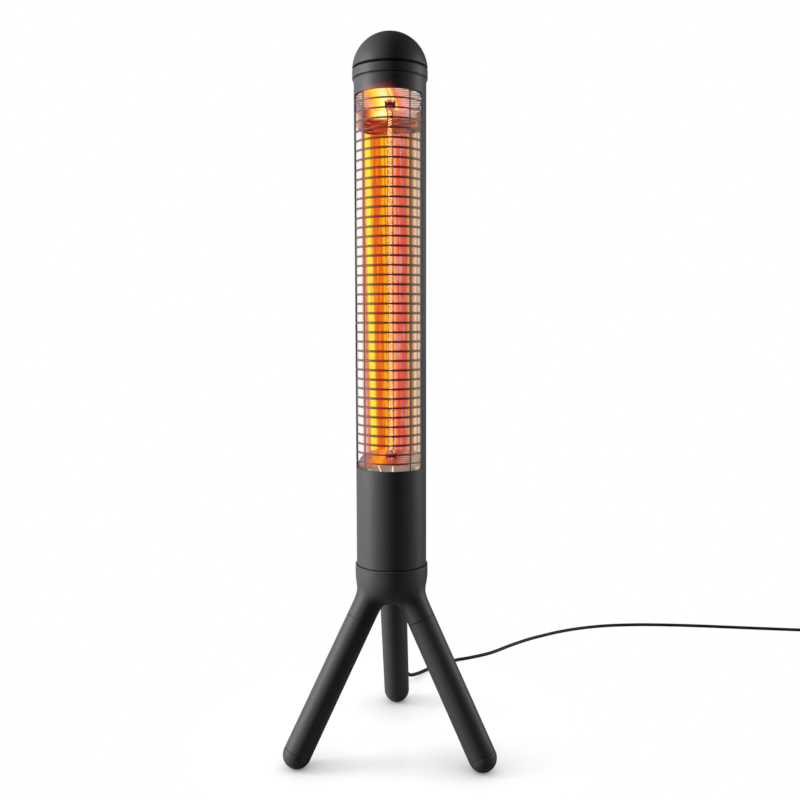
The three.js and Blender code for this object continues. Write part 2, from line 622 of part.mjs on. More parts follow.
/** A sector prism of the tower, about the window's middle, between two heights. */
function windowSector(halfAngle, bottom, top) {
  const steps = 8;
  const reach = TUBE_RADIUS / Math.cos(halfAngle / steps) + CUT_OVERRUN;
  const shape = new THREE.Shape([new THREE.Vector2(0, 0)]);
  for (let step = 0; step <= steps; step += 1) {
    const angle = -halfAngle + (2 * halfAngle * step) / steps;
    shape.lineTo(reach * Math.sin(angle), -reach * Math.cos(angle));
  }
  shape.closePath();
  const depth = top - bottom;
  return new THREE.ExtrudeGeometry(shape, { depth, bevelEnabled: false }).translate(0, 0, bottom);
}

/** The window's cutter: a sector with rounded corners. */
function windowCutter() {
  const cornerAngle = WINDOW_CORNER_RADIUS / TUBE_RADIUS;
  const low = WINDOW_BOTTOM + WINDOW_CORNER_RADIUS;
  const high = WINDOW_TOP - WINDOW_CORNER_RADIUS;
  const parts = [
    windowSector(WINDOW_HALF_ANGLE, low, high),
    windowSector(WINDOW_HALF_ANGLE - cornerAngle, WINDOW_BOTTOM, WINDOW_TOP),
  ];
  for (const side of [-1, 1]) {
    for (const height of [low, high]) {
      const corner = disc(WINDOW_CORNER_RADIUS, TUBE_INNER_RADIUS - CUT_OVERRUN, TUBE_RADIUS + CUT_OVERRUN,
        SMALL_SIDES);
      outwards(corner, side * (WINDOW_HALF_ANGLE - cornerAngle)).translate(0, 0, height);
      parts.push(corner);
    }
  }
  return join(...parts);
}

function switchBarrel(radius, inner, outer) {
  return disc(radius, inner, outer, LEG_SIDES).rotateX(-Math.PI / 2).translate(0, 0, SWITCH_HEIGHT);
}

function housingTube() {
  const body = ring([
    [TUBE_INNER_RADIUS, TUBE_BOTTOM],
    [TUBE_RADIUS, TUBE_BOTTOM],
    [TUBE_RADIUS, TUBE_TOP - TUBE_RIM_HEIGHT],
    [TUBE_RIM_RADIUS, TUBE_TOP],
    [TUBE_INNER_RADIUS, TUBE_TOP],
  ]);
  const switchHole = switchBarrel(
    SWITCH_BARREL_RADIUS + FIT_GAP, TUBE_INNER_RADIUS - CUT_OVERRUN, TUBE_RADIUS + CUT_OVERRUN);
  const screwHoles = [...sideScrewHoles(HUB_SCREW_HEIGHT), ...sideScrewHoles(CAP_SCREW_HEIGHT)];
  return cut(body, windowCutter(), switchHole, ...screwHoles);
}

/** A level arc about the tower's axis, centred on the window's middle. */
class WindowArc extends THREE.Curve {
  constructor(radius, halfAngle, height) {
    super();
    Object.assign(this, { radius, halfAngle, height });
  }

  getPoint(t, target = new THREE.Vector3()) {
    const angle = (2 * t - 1) * this.halfAngle;
    return target.set(this.radius * Math.sin(angle), -this.radius * Math.cos(angle), this.height);
  }
}

function guardUpright(side, clearance = 0) {
  const length = WINDOW_HEIGHT + 2 * UPRIGHT_OVERRUN + 2 * clearance;
  const middle = (WINDOW_BOTTOM + WINDOW_TOP) / 2;
  const radius = WIRE_RADIUS + clearance;
  const rod = new THREE.CylinderGeometry(radius, radius, length, WIRE_SIDES);
  const angle = side * UPRIGHT_ANGLE;
  return rod.rotateX(Math.PI / 2).rotateZ(angle)
    .translate(UPRIGHT_RADIUS * Math.sin(angle), -UPRIGHT_RADIUS * Math.cos(angle), middle);
}

function guardGrille() {
  const endAngle = WINDOW_HALF_ANGLE - FIT_GAP / GUARD_RADIUS;
  const arcs = Array.from({ length: WIRE_COUNT }, (_, index) => {
    const height = WINDOW_TOP - WIRE_MARGIN - index * WIRE_PITCH;
    return pipe(new WindowArc(GUARD_RADIUS, endAngle, height), WIRE_RADIUS, WIRE_SIDES, WIRE_STEPS);
  });
  return join(guardUpright(-1), guardUpright(1), ...arcs);
}

const hubSeal = sleeve(
  TUBE_RADIUS - HUB_SEAL_INSET, NECK_RADIUS + FIT_GAP, HUB_TOP + FIT_GAP / 2, TUBE_BOTTOM - FIT_GAP / 2);
addPiece(tower, "hub_seal", hubSeal, RUBBER);
addPiece(tower, "housing_tube", housingTube(), POWDER_COAT);
addPiece(tower, "guard_grille", guardGrille(), GUARD_COAT);
addSideScrews("hub", HUB_SCREW_HEIGHT);
addSideScrews("cap", CAP_SCREW_HEIGHT);

// ---------------------------------------------------------------- cap

function capBand() {
  const neckBottom = BAND_BOTTOM - BAND_NECK_LENGTH;
  const body = ring([
    [NECK_RADIUS, neckBottom],
    [NECK_RADIUS, BAND_BOTTOM],
    [BAND_RADIUS, BAND_BOTTOM],
    [BAND_RADIUS, BAND_TOP],
    [BAND_INNER_RADIUS - BAND_LEDGE, BAND_TOP],
    [BAND_INNER_RADIUS - BAND_LEDGE, LEDGE_BOTTOM],
    [BAND_INNER_RADIUS, LEDGE_BOTTOM],
    [BAND_INNER_RADIUS, neckBottom],
  ]);
  return cut(body, ...sideScrewHoles(CAP_SCREW_HEIGHT));
}

function capGasket() {
  const outer = BAND_RADIUS - CAP_GASKET_INSET;
  return sleeve(outer, outer - CAP_GASKET_WIDTH, GASKET_BOTTOM, GASKET_BOTTOM + CAP_GASKET_HEIGHT);
}

function domeCap() {
  const arcSteps = 7;
  const innerSteps = 4;
  const outerStart = Math.asin(DOME_BASE_RISE / DOME_RADIUS);
  const innerRadius = DOME_RADIUS - DOME_WALL;
  const innerStart = Math.asin(DOME_BASE_RISE / innerRadius);
  const innerEnd = Math.acos(DOME_BOSS_RADIUS / innerRadius);
  const profile = [];
  for (let step = 0; step <= arcSteps; step += 1) {
    const angle = outerStart + (Math.PI / 2 - outerStart) * (step / arcSteps);
    const radius = step === arcSteps ? 0 : DOME_RADIUS * Math.cos(angle);
    profile.push([radius, DOME_CENTRE + DOME_RADIUS * Math.sin(angle)]);
  }
  const boreTop = DOME_BOSS_BOTTOM + DOME_BOLT_DEPTH;
  const bore = CAP_BOLT_RADIUS + FIT_GAP;
  profile.push([0, boreTop], [bore, boreTop], [bore, DOME_BOSS_BOTTOM]);
  profile.push([DOME_BOSS_RADIUS, DOME_BOSS_BOTTOM]);
  for (let step = innerSteps; step >= 0; step -= 1) {
    const angle = innerStart + (innerEnd - innerStart) * (step / innerSteps);
    profile.push([innerRadius * Math.cos(angle), DOME_CENTRE + innerRadius * Math.sin(angle)]);
  }
  return ring(profile);
}

function capBridge() {
  const middle = (BRIDGE_TOP + BRIDGE_BOTTOM) / 2;
  const bar = block(2 * BAND_RADIUS, BRIDGE_WIDTH, BRIDGE_THICKNESS, 0, 0, middle);
  const low = BRIDGE_BOTTOM - CUT_OVERRUN;
  const high = BRIDGE_TOP + CUT_OVERRUN;
  const rounded = common(bar, disc(BAND_INNER_RADIUS - FIT_GAP, low, high));
  return cut(rounded, disc(CAP_BOLT_RADIUS + FIT_GAP, low, high, SCREW_SIDES));
}

function capBolt() {
  const headTop = BRIDGE_BOTTOM - FIT_GAP;
  const headBottom = headTop - CAP_BOLT_HEAD_HEIGHT;
  const tip = DOME_BOSS_BOTTOM + DOME_BOLT_DEPTH - 3 * FIT_GAP;
  return turned([
    [0, headBottom],
    [CAP_BOLT_HEAD_RADIUS, headBottom],
    [CAP_BOLT_HEAD_RADIUS, headTop],
    [CAP_BOLT_RADIUS, headTop],
    [CAP_BOLT_RADIUS, tip],
    [0, tip],
  ], SCREW_SIDES);
}

addPiece(tower, "cap_band", capBand(), POWDER_COAT);
addPiece(tower, "cap_gasket", capGasket(), RUBBER);
addPiece(tower, "dome_cap", domeCap(), POWDER_COAT);
addPiece(tower, "cap_bridge", capBridge(), STEEL);
addPiece(tower, "cap_bolt", capBolt(), STEEL);

// ---------------------------------------------------------------- reflector and its end plates

/** Tips a body about the tower's axis by an end plate's tilt, and lifts it to the plate. */
const onPlate = (geometry, tilt, height) => geometry.rotateX(tilt).translate(0, 0, height);

const END_PLATES = {
  top: { tilt: -TOP_PLATE_TILT, height: TOP_PLATE_HEIGHT, inside: -1 },
  bottom: { tilt: BOTTOM_PLATE_TILT, height: BOTTOM_PLATE_HEIGHT, inside: 1 },
};

/** Everything on the outer side of an end plate's inner face, less the fitting gap. */
function beyondPlate({ tilt, height, inside }) {
  const size = 4 * TUBE_RADIUS;
  const face = inside * (PLATE_THICKNESS / 2 + FIT_GAP);
  return onPlate(block(size, size, size, 0, 0, face - (inside * size) / 2), tilt, height);
}

/** A round bore along the tower's axis or beside it, through an end plate. */
function plateBore(radius, y, height) {
  return disc(radius, height - TUBE_RADIUS, height + TUBE_RADIUS, SMALL_SIDES).translate(0, y, 0);
}

function endPlate({ tilt, height }) {
  const slab = onPlate(block(4 * TUBE_RADIUS, 4 * TUBE_RADIUS, PLATE_THICKNESS), tilt, height);
  const inside = disc(TUBE_INNER_RADIUS - PLATE_CLEARANCE, height - TUBE_RADIUS, height + TUBE_RADIUS);
  return cut(
    common(inside, slab),
    guardUpright(-1, FIT_GAP),
    guardUpright(1, FIT_GAP),
    plateBore(LAMP_END_RADIUS + FIT_GAP, 0, height),
    plateBore(WIREWAY_RADIUS, WIREWAY_OFFSET, height),
  );
}

/** The folded reflector sheet: facets on a circle and a flat back. */
function reflectorTrough() {
  const side = Array.from({ length: REFLECTOR_FACETS + 1 }, (_, index) =>
    REFLECTOR_EDGE_ANGLE + ((REFLECTOR_BACK_ANGLE - REFLECTOR_EDGE_ANGLE) * index) / REFLECTOR_FACETS);
  const angles = [...side, ...side.map((angle) => 2 * Math.PI - angle).reverse()];
  const inner = angles.map((angle) =>
    new THREE.Vector2(REFLECTOR_RADIUS * Math.sin(angle), -REFLECTOR_RADIUS * Math.cos(angle)));
  const outer = inner.map((point) => point.clone().multiplyScalar(1 + REFLECTOR_SHEET / REFLECTOR_RADIUS));
  const shape = new THREE.Shape([...inner, ...outer.reverse()]);
  const depth = WINDOW_HEIGHT + 2 * TUBE_RADIUS;
  const sheet = new THREE.ExtrudeGeometry(shape, { depth, bevelEnabled: false });
  sheet.translate(0, 0, WINDOW_BOTTOM - TUBE_RADIUS);
  return cut(sheet, beyondPlate(END_PLATES.top), beyondPlate(END_PLATES.bottom));
}

addPiece(tower, "reflector_trough", reflectorTrough(), POLISHED);
addPiece(tower, "reflector_top_plate", endPlate(END_PLATES.top), POLISHED);
addPiece(tower, "reflector_bottom_plate", endPlate(END_PLATES.bottom), POLISHED);

// ---------------------------------------------------------------- lamp

/** Heights along the lamp at one end, measured from the end plate towards the lamp's middle. */
const CLIP_START = PLATE_THICKNESS / 2 + CLIP_STANDOFF;
const CLIP_STOP = CLIP_START + CLIP_HEIGHT;
const COLLAR_START = CLIP_STOP + FIT_GAP;
const COLLAR_STOP = COLLAR_START + LAMP_COLLAR_HEIGHT;
const LAMP_END_STOP = COLLAR_STOP + LAMP_END_LIP;
const LAMP_END_START = LAMP_END_STOP - LAMP_END_LENGTH;
const SOCKET_START = LAMP_END_STOP - LAMP_SOCKET_DEPTH;

/** A profile of [radius, distance from the plate] as [radius, height]. */
const fromPlate = ({ height, inside }, profile) =>
  profile.map(([radius, distance]) => [radius, height + inside * distance]);

function lampEnd(plate) {
  const leadBore = LEAD_RADIUS + FIT_GAP;
  return ring(fromPlate(plate, [
    [leadBore, LAMP_END_START],
    [LAMP_END_RADIUS, LAMP_END_START],
    [LAMP_END_RADIUS, COLLAR_START],
    [LAMP_COLLAR_RADIUS, COLLAR_START],
    [LAMP_COLLAR_RADIUS, COLLAR_STOP],
    [LAMP_END_RADIUS, COLLAR_STOP],
    [LAMP_END_RADIUS, LAMP_END_STOP],
    [QUARTZ_RADIUS + FIT_GAP, LAMP_END_STOP],
    [QUARTZ_RADIUS + FIT_GAP, SOCKET_START],
    [leadBore, SOCKET_START],
  ]), SMALL_SIDES);
}

function lampClip(plate) {
  const inner = LAMP_END_RADIUS + FIT_GAP;
  const outer = inner + CLIP_WALL;
  const band = ring(fromPlate(plate, [
    [inner, CLIP_START],
    [outer, CLIP_START],
    [outer, CLIP_STOP],
    [inner, CLIP_STOP],
  ]), CLIP_SIDES);
  const postLength = 2 * CLIP_STOP;
  const posts = [-1, 1].map((side) =>
    block(CLIP_WALL, CLIP_POST_WIDTH, postLength, side * (outer - CLIP_WALL / 2), 0, plate.height));
  const bore = disc(inner, plate.height - postLength, plate.height + postLength, CLIP_SIDES);
  return cut(join(band, ...posts), bore, beyondPlate(plate));
}

const QUARTZ_BOTTOM = BOTTOM_PLATE_HEIGHT + SOCKET_START + FIT_GAP;
const QUARTZ_TOP = TOP_PLATE_HEIGHT - SOCKET_START - FIT_GAP;

/** A helix on the tower's axis with a straight tail on the axis at each end. */
class FilamentCurve extends THREE.Curve {
  constructor(bottom, top) {
    super();
    Object.assign(this, { bottom, top, arcLengthDivisions: 40 * FILAMENT_TURNS });
  }

  getPoint(t, target = new THREE.Vector3()) {
    const height = this.bottom + t * (this.top - this.bottom);
    const fromEnd = Math.min(height - this.bottom, this.top - height) - FILAMENT_TAIL;
    const spread = THREE.MathUtils.smoothstep(fromEnd, 0, FILAMENT_TAIL) * FILAMENT_RADIUS;
    const wound = (height - this.bottom - FILAMENT_TAIL) / (this.top - this.bottom - 2 * FILAMENT_TAIL);
    const angle = 2 * Math.PI * FILAMENT_TURNS * THREE.MathUtils.clamp(wound, 0, 1);
    return target.set(spread * Math.cos(angle), spread * Math.sin(angle), height);
  }
}

const filamentCurve = new FilamentCurve(
  QUARTZ_BOTTOM - FILAMENT_TAIL / 2, QUARTZ_TOP + FILAMENT_TAIL / 2);
const filamentSteps = (FILAMENT_TURNS + 2) * FILAMENT_STEPS;
const filamentGap = leastGap(
  filamentCurve.getSpacedPoints(6 * filamentSteps), FILAMENT_WIRE_RADIUS, 4 * FILAMENT_STEPS);
console.log(`least gap of the filament to itself: ${filamentGap.toFixed(2)} mm`);

for (const [side, name] of [["top", "upper"], ["bottom", "lower"]]) {
  addPiece(tower, `lamp_end_${name}`, lampEnd(END_PLATES[side]), CERAMIC);
  addPiece(tower, `lamp_clip_${name}`, lampClip(END_PLATES[side]), DARK_STEEL);
}
const quartz = sleeve(
  QUARTZ_RADIUS, QUARTZ_RADIUS - QUARTZ_WALL, QUARTZ_BOTTOM, QUARTZ_TOP, SMALL_SIDES);
addPiece(tower, "quartz_tube", quartz, QUARTZ);
addPiece(tower, "lamp_filament", pipe(filamentCurve, FILAMENT_WIRE_RADIUS, 5, filamentSteps), FILAMENT);

// ---------------------------------------------------------------- chassis and wiring

const TERMINAL_Y = CHASSIS_SETBACK - FIT_GAP - TERMINAL_SIZE[1] / 2;
const TERMINAL_TOP = TERMINAL_BOTTOM + TERMINAL_SIZE[2];
const SWITCH_WIRE_X = 20;
const SWITCH_WIRE_HEIGHT = TERMINAL_BOTTOM - 15;

function chassisPlate() {
  const base = disc(TUBE_INNER_RADIUS - PLATE_CLEARANCE, CHASSIS_BOTTOM, CHASSIS_TOP);
  const sheet = block(
    CHASSIS_WIDTH, CHASSIS_SHEET, CHASSIS_SHEET_TOP - CHASSIS_BOTTOM,
    0, CHASSIS_SETBACK + CHASSIS_SHEET / 2, (CHASSIS_SHEET_TOP + CHASSIS_BOTTOM) / 2);
  const low = CHASSIS_BOTTOM - CUT_OVERRUN;
  const high = CHASSIS_TOP + CUT_OVERRUN;
  const screwHoles = [-1, 1].map((side) =>
    disc(SMALL_SCREW_RADIUS + FIT_GAP, low, high, SCREW_SIDES)
      .translate(side * CHASSIS_SCREW_OFFSET, 0, 0));
  const wireHole = disc(LEAD_RADIUS + CHASSIS_WIRE_PLAY, CHASSIS_SETBACK - CUT_OVERRUN,
    CHASSIS_SETBACK + CHASSIS_SHEET + CUT_OVERRUN, SMALL_SIDES);
  wireHole.rotateX(-Math.PI / 2).translate(SWITCH_WIRE_X, 0, SWITCH_WIRE_HEIGHT);
  const cordHole = disc(CORD_RADIUS + CHASSIS_CORD_PLAY, low, high, SMALL_SIDES);
  return cut(join(base, sheet), cordHole, wireHole, ...screwHoles);
}

function thermalCutout() {
  const top = -PLATE_THICKNESS / 2 - FIT_GAP;
  const body = turned([
    [0, top - THERMAL_HEIGHT],
    [THERMAL_RADIUS - THERMAL_FLANGE, top - THERMAL_HEIGHT],
    [THERMAL_RADIUS - THERMAL_FLANGE, top - THERMAL_FLANGE_HEIGHT],
    [THERMAL_RADIUS, top - THERMAL_FLANGE_HEIGHT],
    [THERMAL_RADIUS, top],
    [0, top],
  ], SMALL_SIDES);
  return onPlate(body.translate(THERMAL_OFFSET, 0, 0), BOTTOM_PLATE_TILT, BOTTOM_PLATE_HEIGHT);
}

const lead = (points) => routedPipe(points, LEAD_RADIUS, LEAD_SIDES);

/** The wire from the lamp's lower end to the terminals. */
function lowerLead() {
  const mouth = BOTTOM_PLATE_HEIGHT + LAMP_END_START - FIT_GAP;
  const end = TERMINAL_TOP + FIT_GAP;
  const below = (share) => THREE.MathUtils.lerp(mouth, end, share);
  return lead([
    [0, 0, filamentCurve.bottom - FIT_GAP],
    [0, 0, mouth],
    [-1, 0, below(0.24)],
    [-8, TERMINAL_Y, below(0.54)],
    [-12, TERMINAL_Y, below(0.84)],
    [-12, TERMINAL_Y, end],
  ]);
}

/** The wire from the lamp's upper end, down behind the reflector, to the terminals. */
function upperLead() {
  const start = filamentCurve.top + FIT_GAP;
  const mouth = TOP_PLATE_HEIGHT - LAMP_END_START;
  const behind = WIREWAY_OFFSET;
  return lead([
    [0, 0, start],
    [0, 0, mouth],
    [0, 0, mouth + 2],
    [0, 4, mouth + 9],
    [0, 0.3 * behind, mouth + 12],
    [0, 0.72 * behind, mouth + 9],
    [0, behind, mouth - 12],
    [0, behind, mouth - WINDOW_HEIGHT / 10],
    [0, behind, BOTTOM_PLATE_HEIGHT + WINDOW_HEIGHT / 10],
    [0, behind, BOTTOM_PLATE_HEIGHT],
    [2, 0.83 * behind, BOTTOM_PLATE_HEIGHT - 16],
    [6, 0.45 * behind, BOTTOM_PLATE_HEIGHT - 22],
    [11, 4, CHASSIS_SHEET_TOP + 8],
    [12, TERMINAL_Y, CHASSIS_SHEET_TOP - 12],
    [12, TERMINAL_Y, TERMINAL_TOP + FIT_GAP],
  ]);
}

/** The twin wire from the terminals to the mains switch. */
function switchWires() {
  const back = TUBE_RADIUS + SWITCH_FLANGE_RISE - SWITCH_DEPTH;
  return lead([
    [SWITCH_WIRE_X, TERMINAL_Y, TERMINAL_BOTTOM - FIT_GAP],
    [SWITCH_WIRE_X, TERMINAL_Y, TERMINAL_BOTTOM - 8],
    [SWITCH_WIRE_X, CHASSIS_SETBACK - 3, SWITCH_WIRE_HEIGHT],
    [SWITCH_WIRE_X, CHASSIS_SETBACK + 8, SWITCH_WIRE_HEIGHT],
    [12, back - 17, SWITCH_WIRE_HEIGHT + 5],
    [1, back - 9, SWITCH_HEIGHT],
    [0, back - FIT_GAP, SWITCH_HEIGHT],
  ]);
}

const terminal = block(...TERMINAL_SIZE, 0, TERMINAL_Y, (TERMINAL_BOTTOM + TERMINAL_TOP) / 2);
addPiece(tower, "chassis_plate", chassisPlate(), STEEL);
addPiece(tower, "terminal_block", terminal, PALE_PLASTIC);
addPiece(tower, "thermal_cutout", thermalCutout(), CERAMIC);
addPiece(tower, "lead_wire_lower", lowerLead(), LEAD_SLEEVE);
addPiece(tower, "lead_wire_upper", upperLead(), LEAD_SLEEVE);
addPiece(tower, "switch_wires", switchWires(), LEAD_SLEEVE);
for (const [name, side] of [["left", -1], ["right", 1]]) {
  const screw = panScrew(
    SMALL_SCREW_RADIUS, SMALL_SCREW_LENGTH, SMALL_SCREW_HEAD_RADIUS, SMALL_SCREW_HEAD_HEIGHT);
  screw.translate(side * CHASSIS_SCREW_OFFSET, 0, CHASSIS_TOP + FIT_GAP);
  addPiece(tower, `chassis_screw_${name}`, screw, STEEL);
}

// ---------------------------------------------------------------- tip-over switch

const [TILT_WIDTH, TILT_DEPTH, TILT_HEIGHT] = TILT_CASE_SIZE;
const TILT_X = -TILT_CASE_OFFSET;
const TILT_TOP = TERMINAL_BOTTOM - TILT_CASE_DROP;
const TILT_Z = TILT_TOP - TILT_HEIGHT / 2;
const TILT_BACK = CHASSIS_SETBACK - FIT_GAP;
const TILT_FRONT = TILT_BACK - TILT_DEPTH;
const TILT_PIN_Z = TILT_TOP - TILT_PIN_DROP;

/** A body about Z moved to lie along Y at the tip-over switch's pin, from one depth to another. */
const atTiltPin = (geometry) => geometry.rotateX(-Math.PI / 2).translate(TILT_X, 0, TILT_PIN_Z);

function tiltCase() {
  const middle = (TILT_BACK + TILT_FRONT) / 2;
  const body = block(TILT_WIDTH, TILT_DEPTH, TILT_HEIGHT, TILT_X, middle, TILT_Z);
  const hollow = block(
    TILT_WIDTH - 2 * TILT_CASE_WALL, TILT_DEPTH, TILT_HEIGHT - 2 * TILT_CASE_WALL,
    TILT_X, middle - TILT_CASE_WALL, TILT_Z);
  const pin = atTiltPin(disc(
    TILT_PIN_RADIUS, TILT_FRONT + TILT_PIN_SHORT, TILT_BACK - TILT_CASE_WALL / 2, SCREW_SIDES));
  return join(cut(body, hollow), pin);
}

function tiltPendulum() {
  const back = TILT_BACK - TILT_CASE_WALL - TILT_PLAY;
  const front = back - TILT_ARM_THICKNESS;
  const past = (TILT_WEIGHT_THICKNESS - TILT_ARM_THICKNESS) / 2;
  const eye = atTiltPin(disc(TILT_ARM_WIDTH, front, back, SMALL_SIDES));
  const weight = atTiltPin(disc(TILT_WEIGHT_RADIUS, front - past, back + past, SMALL_SIDES));
  weight.translate(0, 0, -TILT_ARM_LENGTH);
  const arm = block(
    TILT_ARM_WIDTH, TILT_ARM_THICKNESS, TILT_ARM_LENGTH,
    TILT_X, (front + back) / 2, TILT_PIN_Z - TILT_ARM_LENGTH / 2);
  const bore = atTiltPin(disc(
    TILT_PIN_RADIUS + FIT_GAP, front - CUT_OVERRUN, back + CUT_OVERRUN, SCREW_SIDES));
  return cut(join(eye, weight, arm), bore);
}

const tiltCover = block(
  TILT_WIDTH, TILT_CASE_WALL, TILT_HEIGHT, TILT_X, TILT_FRONT - FIT_GAP - TILT_CASE_WALL / 2, TILT_Z);
addPiece(tower, "tilt_switch_case", tiltCase(), BLACK_PLASTIC);
addPiece(tower, "tilt_switch_pendulum", tiltPendulum(), BRASS);
addPiece(tower, "tilt_switch_cover", tiltCover, PALE_PLASTIC);

// ---------------------------------------------------------------- mains switch

const SWITCH_FACE = TUBE_RADIUS + SWITCH_FLANGE_RISE;
const ROCKER_PIVOT_Y = SWITCH_FACE - ROCKER_REACH;

/** The rocker's side view about its pivot, with the pressed half of its face upright. */
function rockerShape() {
  const corner = (side) => {
    const angle = side * Math.atan2(ROCKER_HALF_HEIGHT, ROCKER_REACH);
    const length = Math.hypot(ROCKER_HALF_HEIGHT, ROCKER_REACH);
    return new THREE.Vector2(length * Math.cos(angle), length * Math.sin(angle));
  };
  const valley = new THREE.Vector2(ROCKER_REACH - ROCKER_HALF_HEIGHT * Math.tan(ROCKER_TILT), 0);
  return new THREE.Shape([
    new THREE.Vector2(-ROCKER_BACK, -ROCKER_BACK),
    corner(-1),
    valley,
    corner(1),
    new THREE.Vector2(-ROCKER_BACK, ROCKER_BACK),
  ]);
}

/** A body drawn in the plane of the rocker's side view, moved to the pivot and spread along X. */
function atPivot(shape, width) {
  const body = new THREE.ExtrudeGeometry(shape, { depth: width, bevelEnabled: false });
  body.translate(0, 0, -width / 2).rotateY(Math.PI / 2).rotateX(Math.PI / 2);
  return body;
}

const alongX = (geometry) => geometry.rotateY(Math.PI / 2);

function powerRocker() {
  const body = atPivot(rockerShape(), ROCKER_WIDTH);
  const pinReach = ROCKER_WIDTH / 2 + ROCKER_PIN_LENGTH;
  const pin = alongX(disc(ROCKER_PIN_RADIUS, -pinReach, pinReach, SCREW_SIDES));
  const rocker = join(body, pin);
  return rocker.rotateX(ROCKER_TILT).translate(0, ROCKER_PIVOT_Y, SWITCH_HEIGHT);
}

function switchBody() {
  const inner = SWITCH_FACE - SWITCH_DEPTH;
  const barrel = switchBarrel(SWITCH_BARREL_RADIUS, inner, SWITCH_FACE);
  const spread = 2 * SWITCH_FLANGE_RADIUS;
  const tubeSurface = disc(TUBE_RADIUS + FIT_GAP, SWITCH_HEIGHT - spread, SWITCH_HEIGHT + spread);
  const flange = cut(switchBarrel(SWITCH_FLANGE_RADIUS, TUBE_INNER_RADIUS, SWITCH_FACE), tubeSurface);
  const lift = ROCKER_REACH * Math.sin(ROCKER_TILT);
  const pocketHeight = 2 * (ROCKER_HALF_HEIGHT + lift + ROCKER_POCKET_GAP);
  const pocketDepth = ROCKER_REACH + ROCKER_BACK * Math.SQRT2 + ROCKER_POCKET_GAP;
  const pocket = block(
    ROCKER_WIDTH + 2 * FIT_GAP, 2 * pocketDepth, pocketHeight,
    0, SWITCH_FACE, SWITCH_HEIGHT);
  const holeReach = ROCKER_WIDTH / 2 + ROCKER_PIN_LENGTH + FIT_GAP;
  const pinHole = alongX(disc(ROCKER_PIN_RADIUS + FIT_GAP, -holeReach, holeReach, SCREW_SIDES));
  pinHole.translate(0, ROCKER_PIVOT_Y, SWITCH_HEIGHT);
  return cut(join(barrel, flange), pocket, pinHole);
}

addPiece(tower, "power_switch_body", switchBody(), BLACK_PLASTIC);
addPiece(tower, "power_rocker", powerRocker(), BLACK_PLASTIC);

// ---------------------------------------------------------------- cord, gland and plug

const CORD_BORE = CORD_RADIUS + FIT_GAP;

function cordGland() {
  return atGland(ring([
    [CORD_BORE, GLAND_THREAD_END],
    [GLAND_RADIUS, GLAND_THREAD_END],
    [GLAND_RADIUS, GLAND_SHOULDER],
    [GLAND_FLANGE_RADIUS, GLAND_SHOULDER],
    [GLAND_FLANGE_RADIUS, GLAND_FRONT],
    [GLAND_RADIUS, GLAND_FRONT],
    [GLAND_TAIL_RADIUS, GLAND_TIP],
    [CORD_BORE, GLAND_TIP],
  ], SMALL_SIDES));
}

function glandNut() {
  const bottom = GLAND_NUT_FACE - GLAND_NUT_THICKNESS;
  return atGland(
    sleeve(GLAND_NUT_RADIUS, GLAND_RADIUS + FIT_GAP, bottom, GLAND_NUT_FACE, SMALL_SIDES));
}

/** A point of the rear leg: along its axis from the apex, and out from the axis. */
function legPoint(place, outward) {
  const point = new THREE.Vector3(0, outward, -place);
  point.applyAxisAngle(new THREE.Vector3(1, 0, 0), LEG_TILT);
  return [0, point.y, point.z + LEG_APEX_HEIGHT];
}

/** The cord's stretch inside the object, from the gland's tip to the terminals. */
function innerCord() {
  return routedPipe([
    legPoint(GLAND_PLACE, GLAND_TIP),
    legPoint(GLAND_PLACE, GLAND_SHOULDER),
    legPoint(GLAND_PLACE, GLAND_THREAD_END + CORD_RADIUS),
    legPoint(GLAND_PLACE, GLAND_THREAD_END),
    legPoint(GLAND_PLACE - 2, GLAND_THREAD_END - 2 * CORD_RADIUS),
    legPoint(GLAND_PLACE - 10, 1.5),
    legPoint(GLAND_PLACE - 26, 0),
    legPoint(GLAND_PLACE - 60, 0),
    legPoint(HUB_STUB_LENGTH, 0),
    legPoint(HUB_FLARE_START, -2),
    [0, 4, NECK_TOP - 24],
    [0, 0, NECK_TOP],
    [0, 0, TERMINAL_BOTTOM - 30],
    [0, 0, TERMINAL_BOTTOM - FIT_GAP],
  ], CORD_RADIUS, INNER_CORD_SIDES);
}

/** The cord's free stretch, in the object's own frame. */
function cordRoute() {
  const [, tipY, tipZ] = legPoint(GLAND_PLACE, GLAND_TIP + FIT_GAP);
  const [, leadY, leadZ] = legPoint(GLAND_PLACE, GLAND_TIP + FIT_GAP + 2 * CORD_RADIUS);
  const straight = 2 * CORD_RADIUS + FIT_GAP;
  const [entryX, entryY] = COIL_ENTRY;
  const back = (distance) => [
    entryX - distance * Math.cos(COIL_HEADING),
    entryY - distance * Math.sin(COIL_HEADING),
    CORD_FLOOR_HEIGHT,
  ];
  return curveThrough([
    [0, tipY + TOWER_Y, tipZ],
    [0, leadY + TOWER_Y, leadZ],
    ...CORD_ROUTE,
    back(straight),
    back(FIT_GAP),
  ]);
}

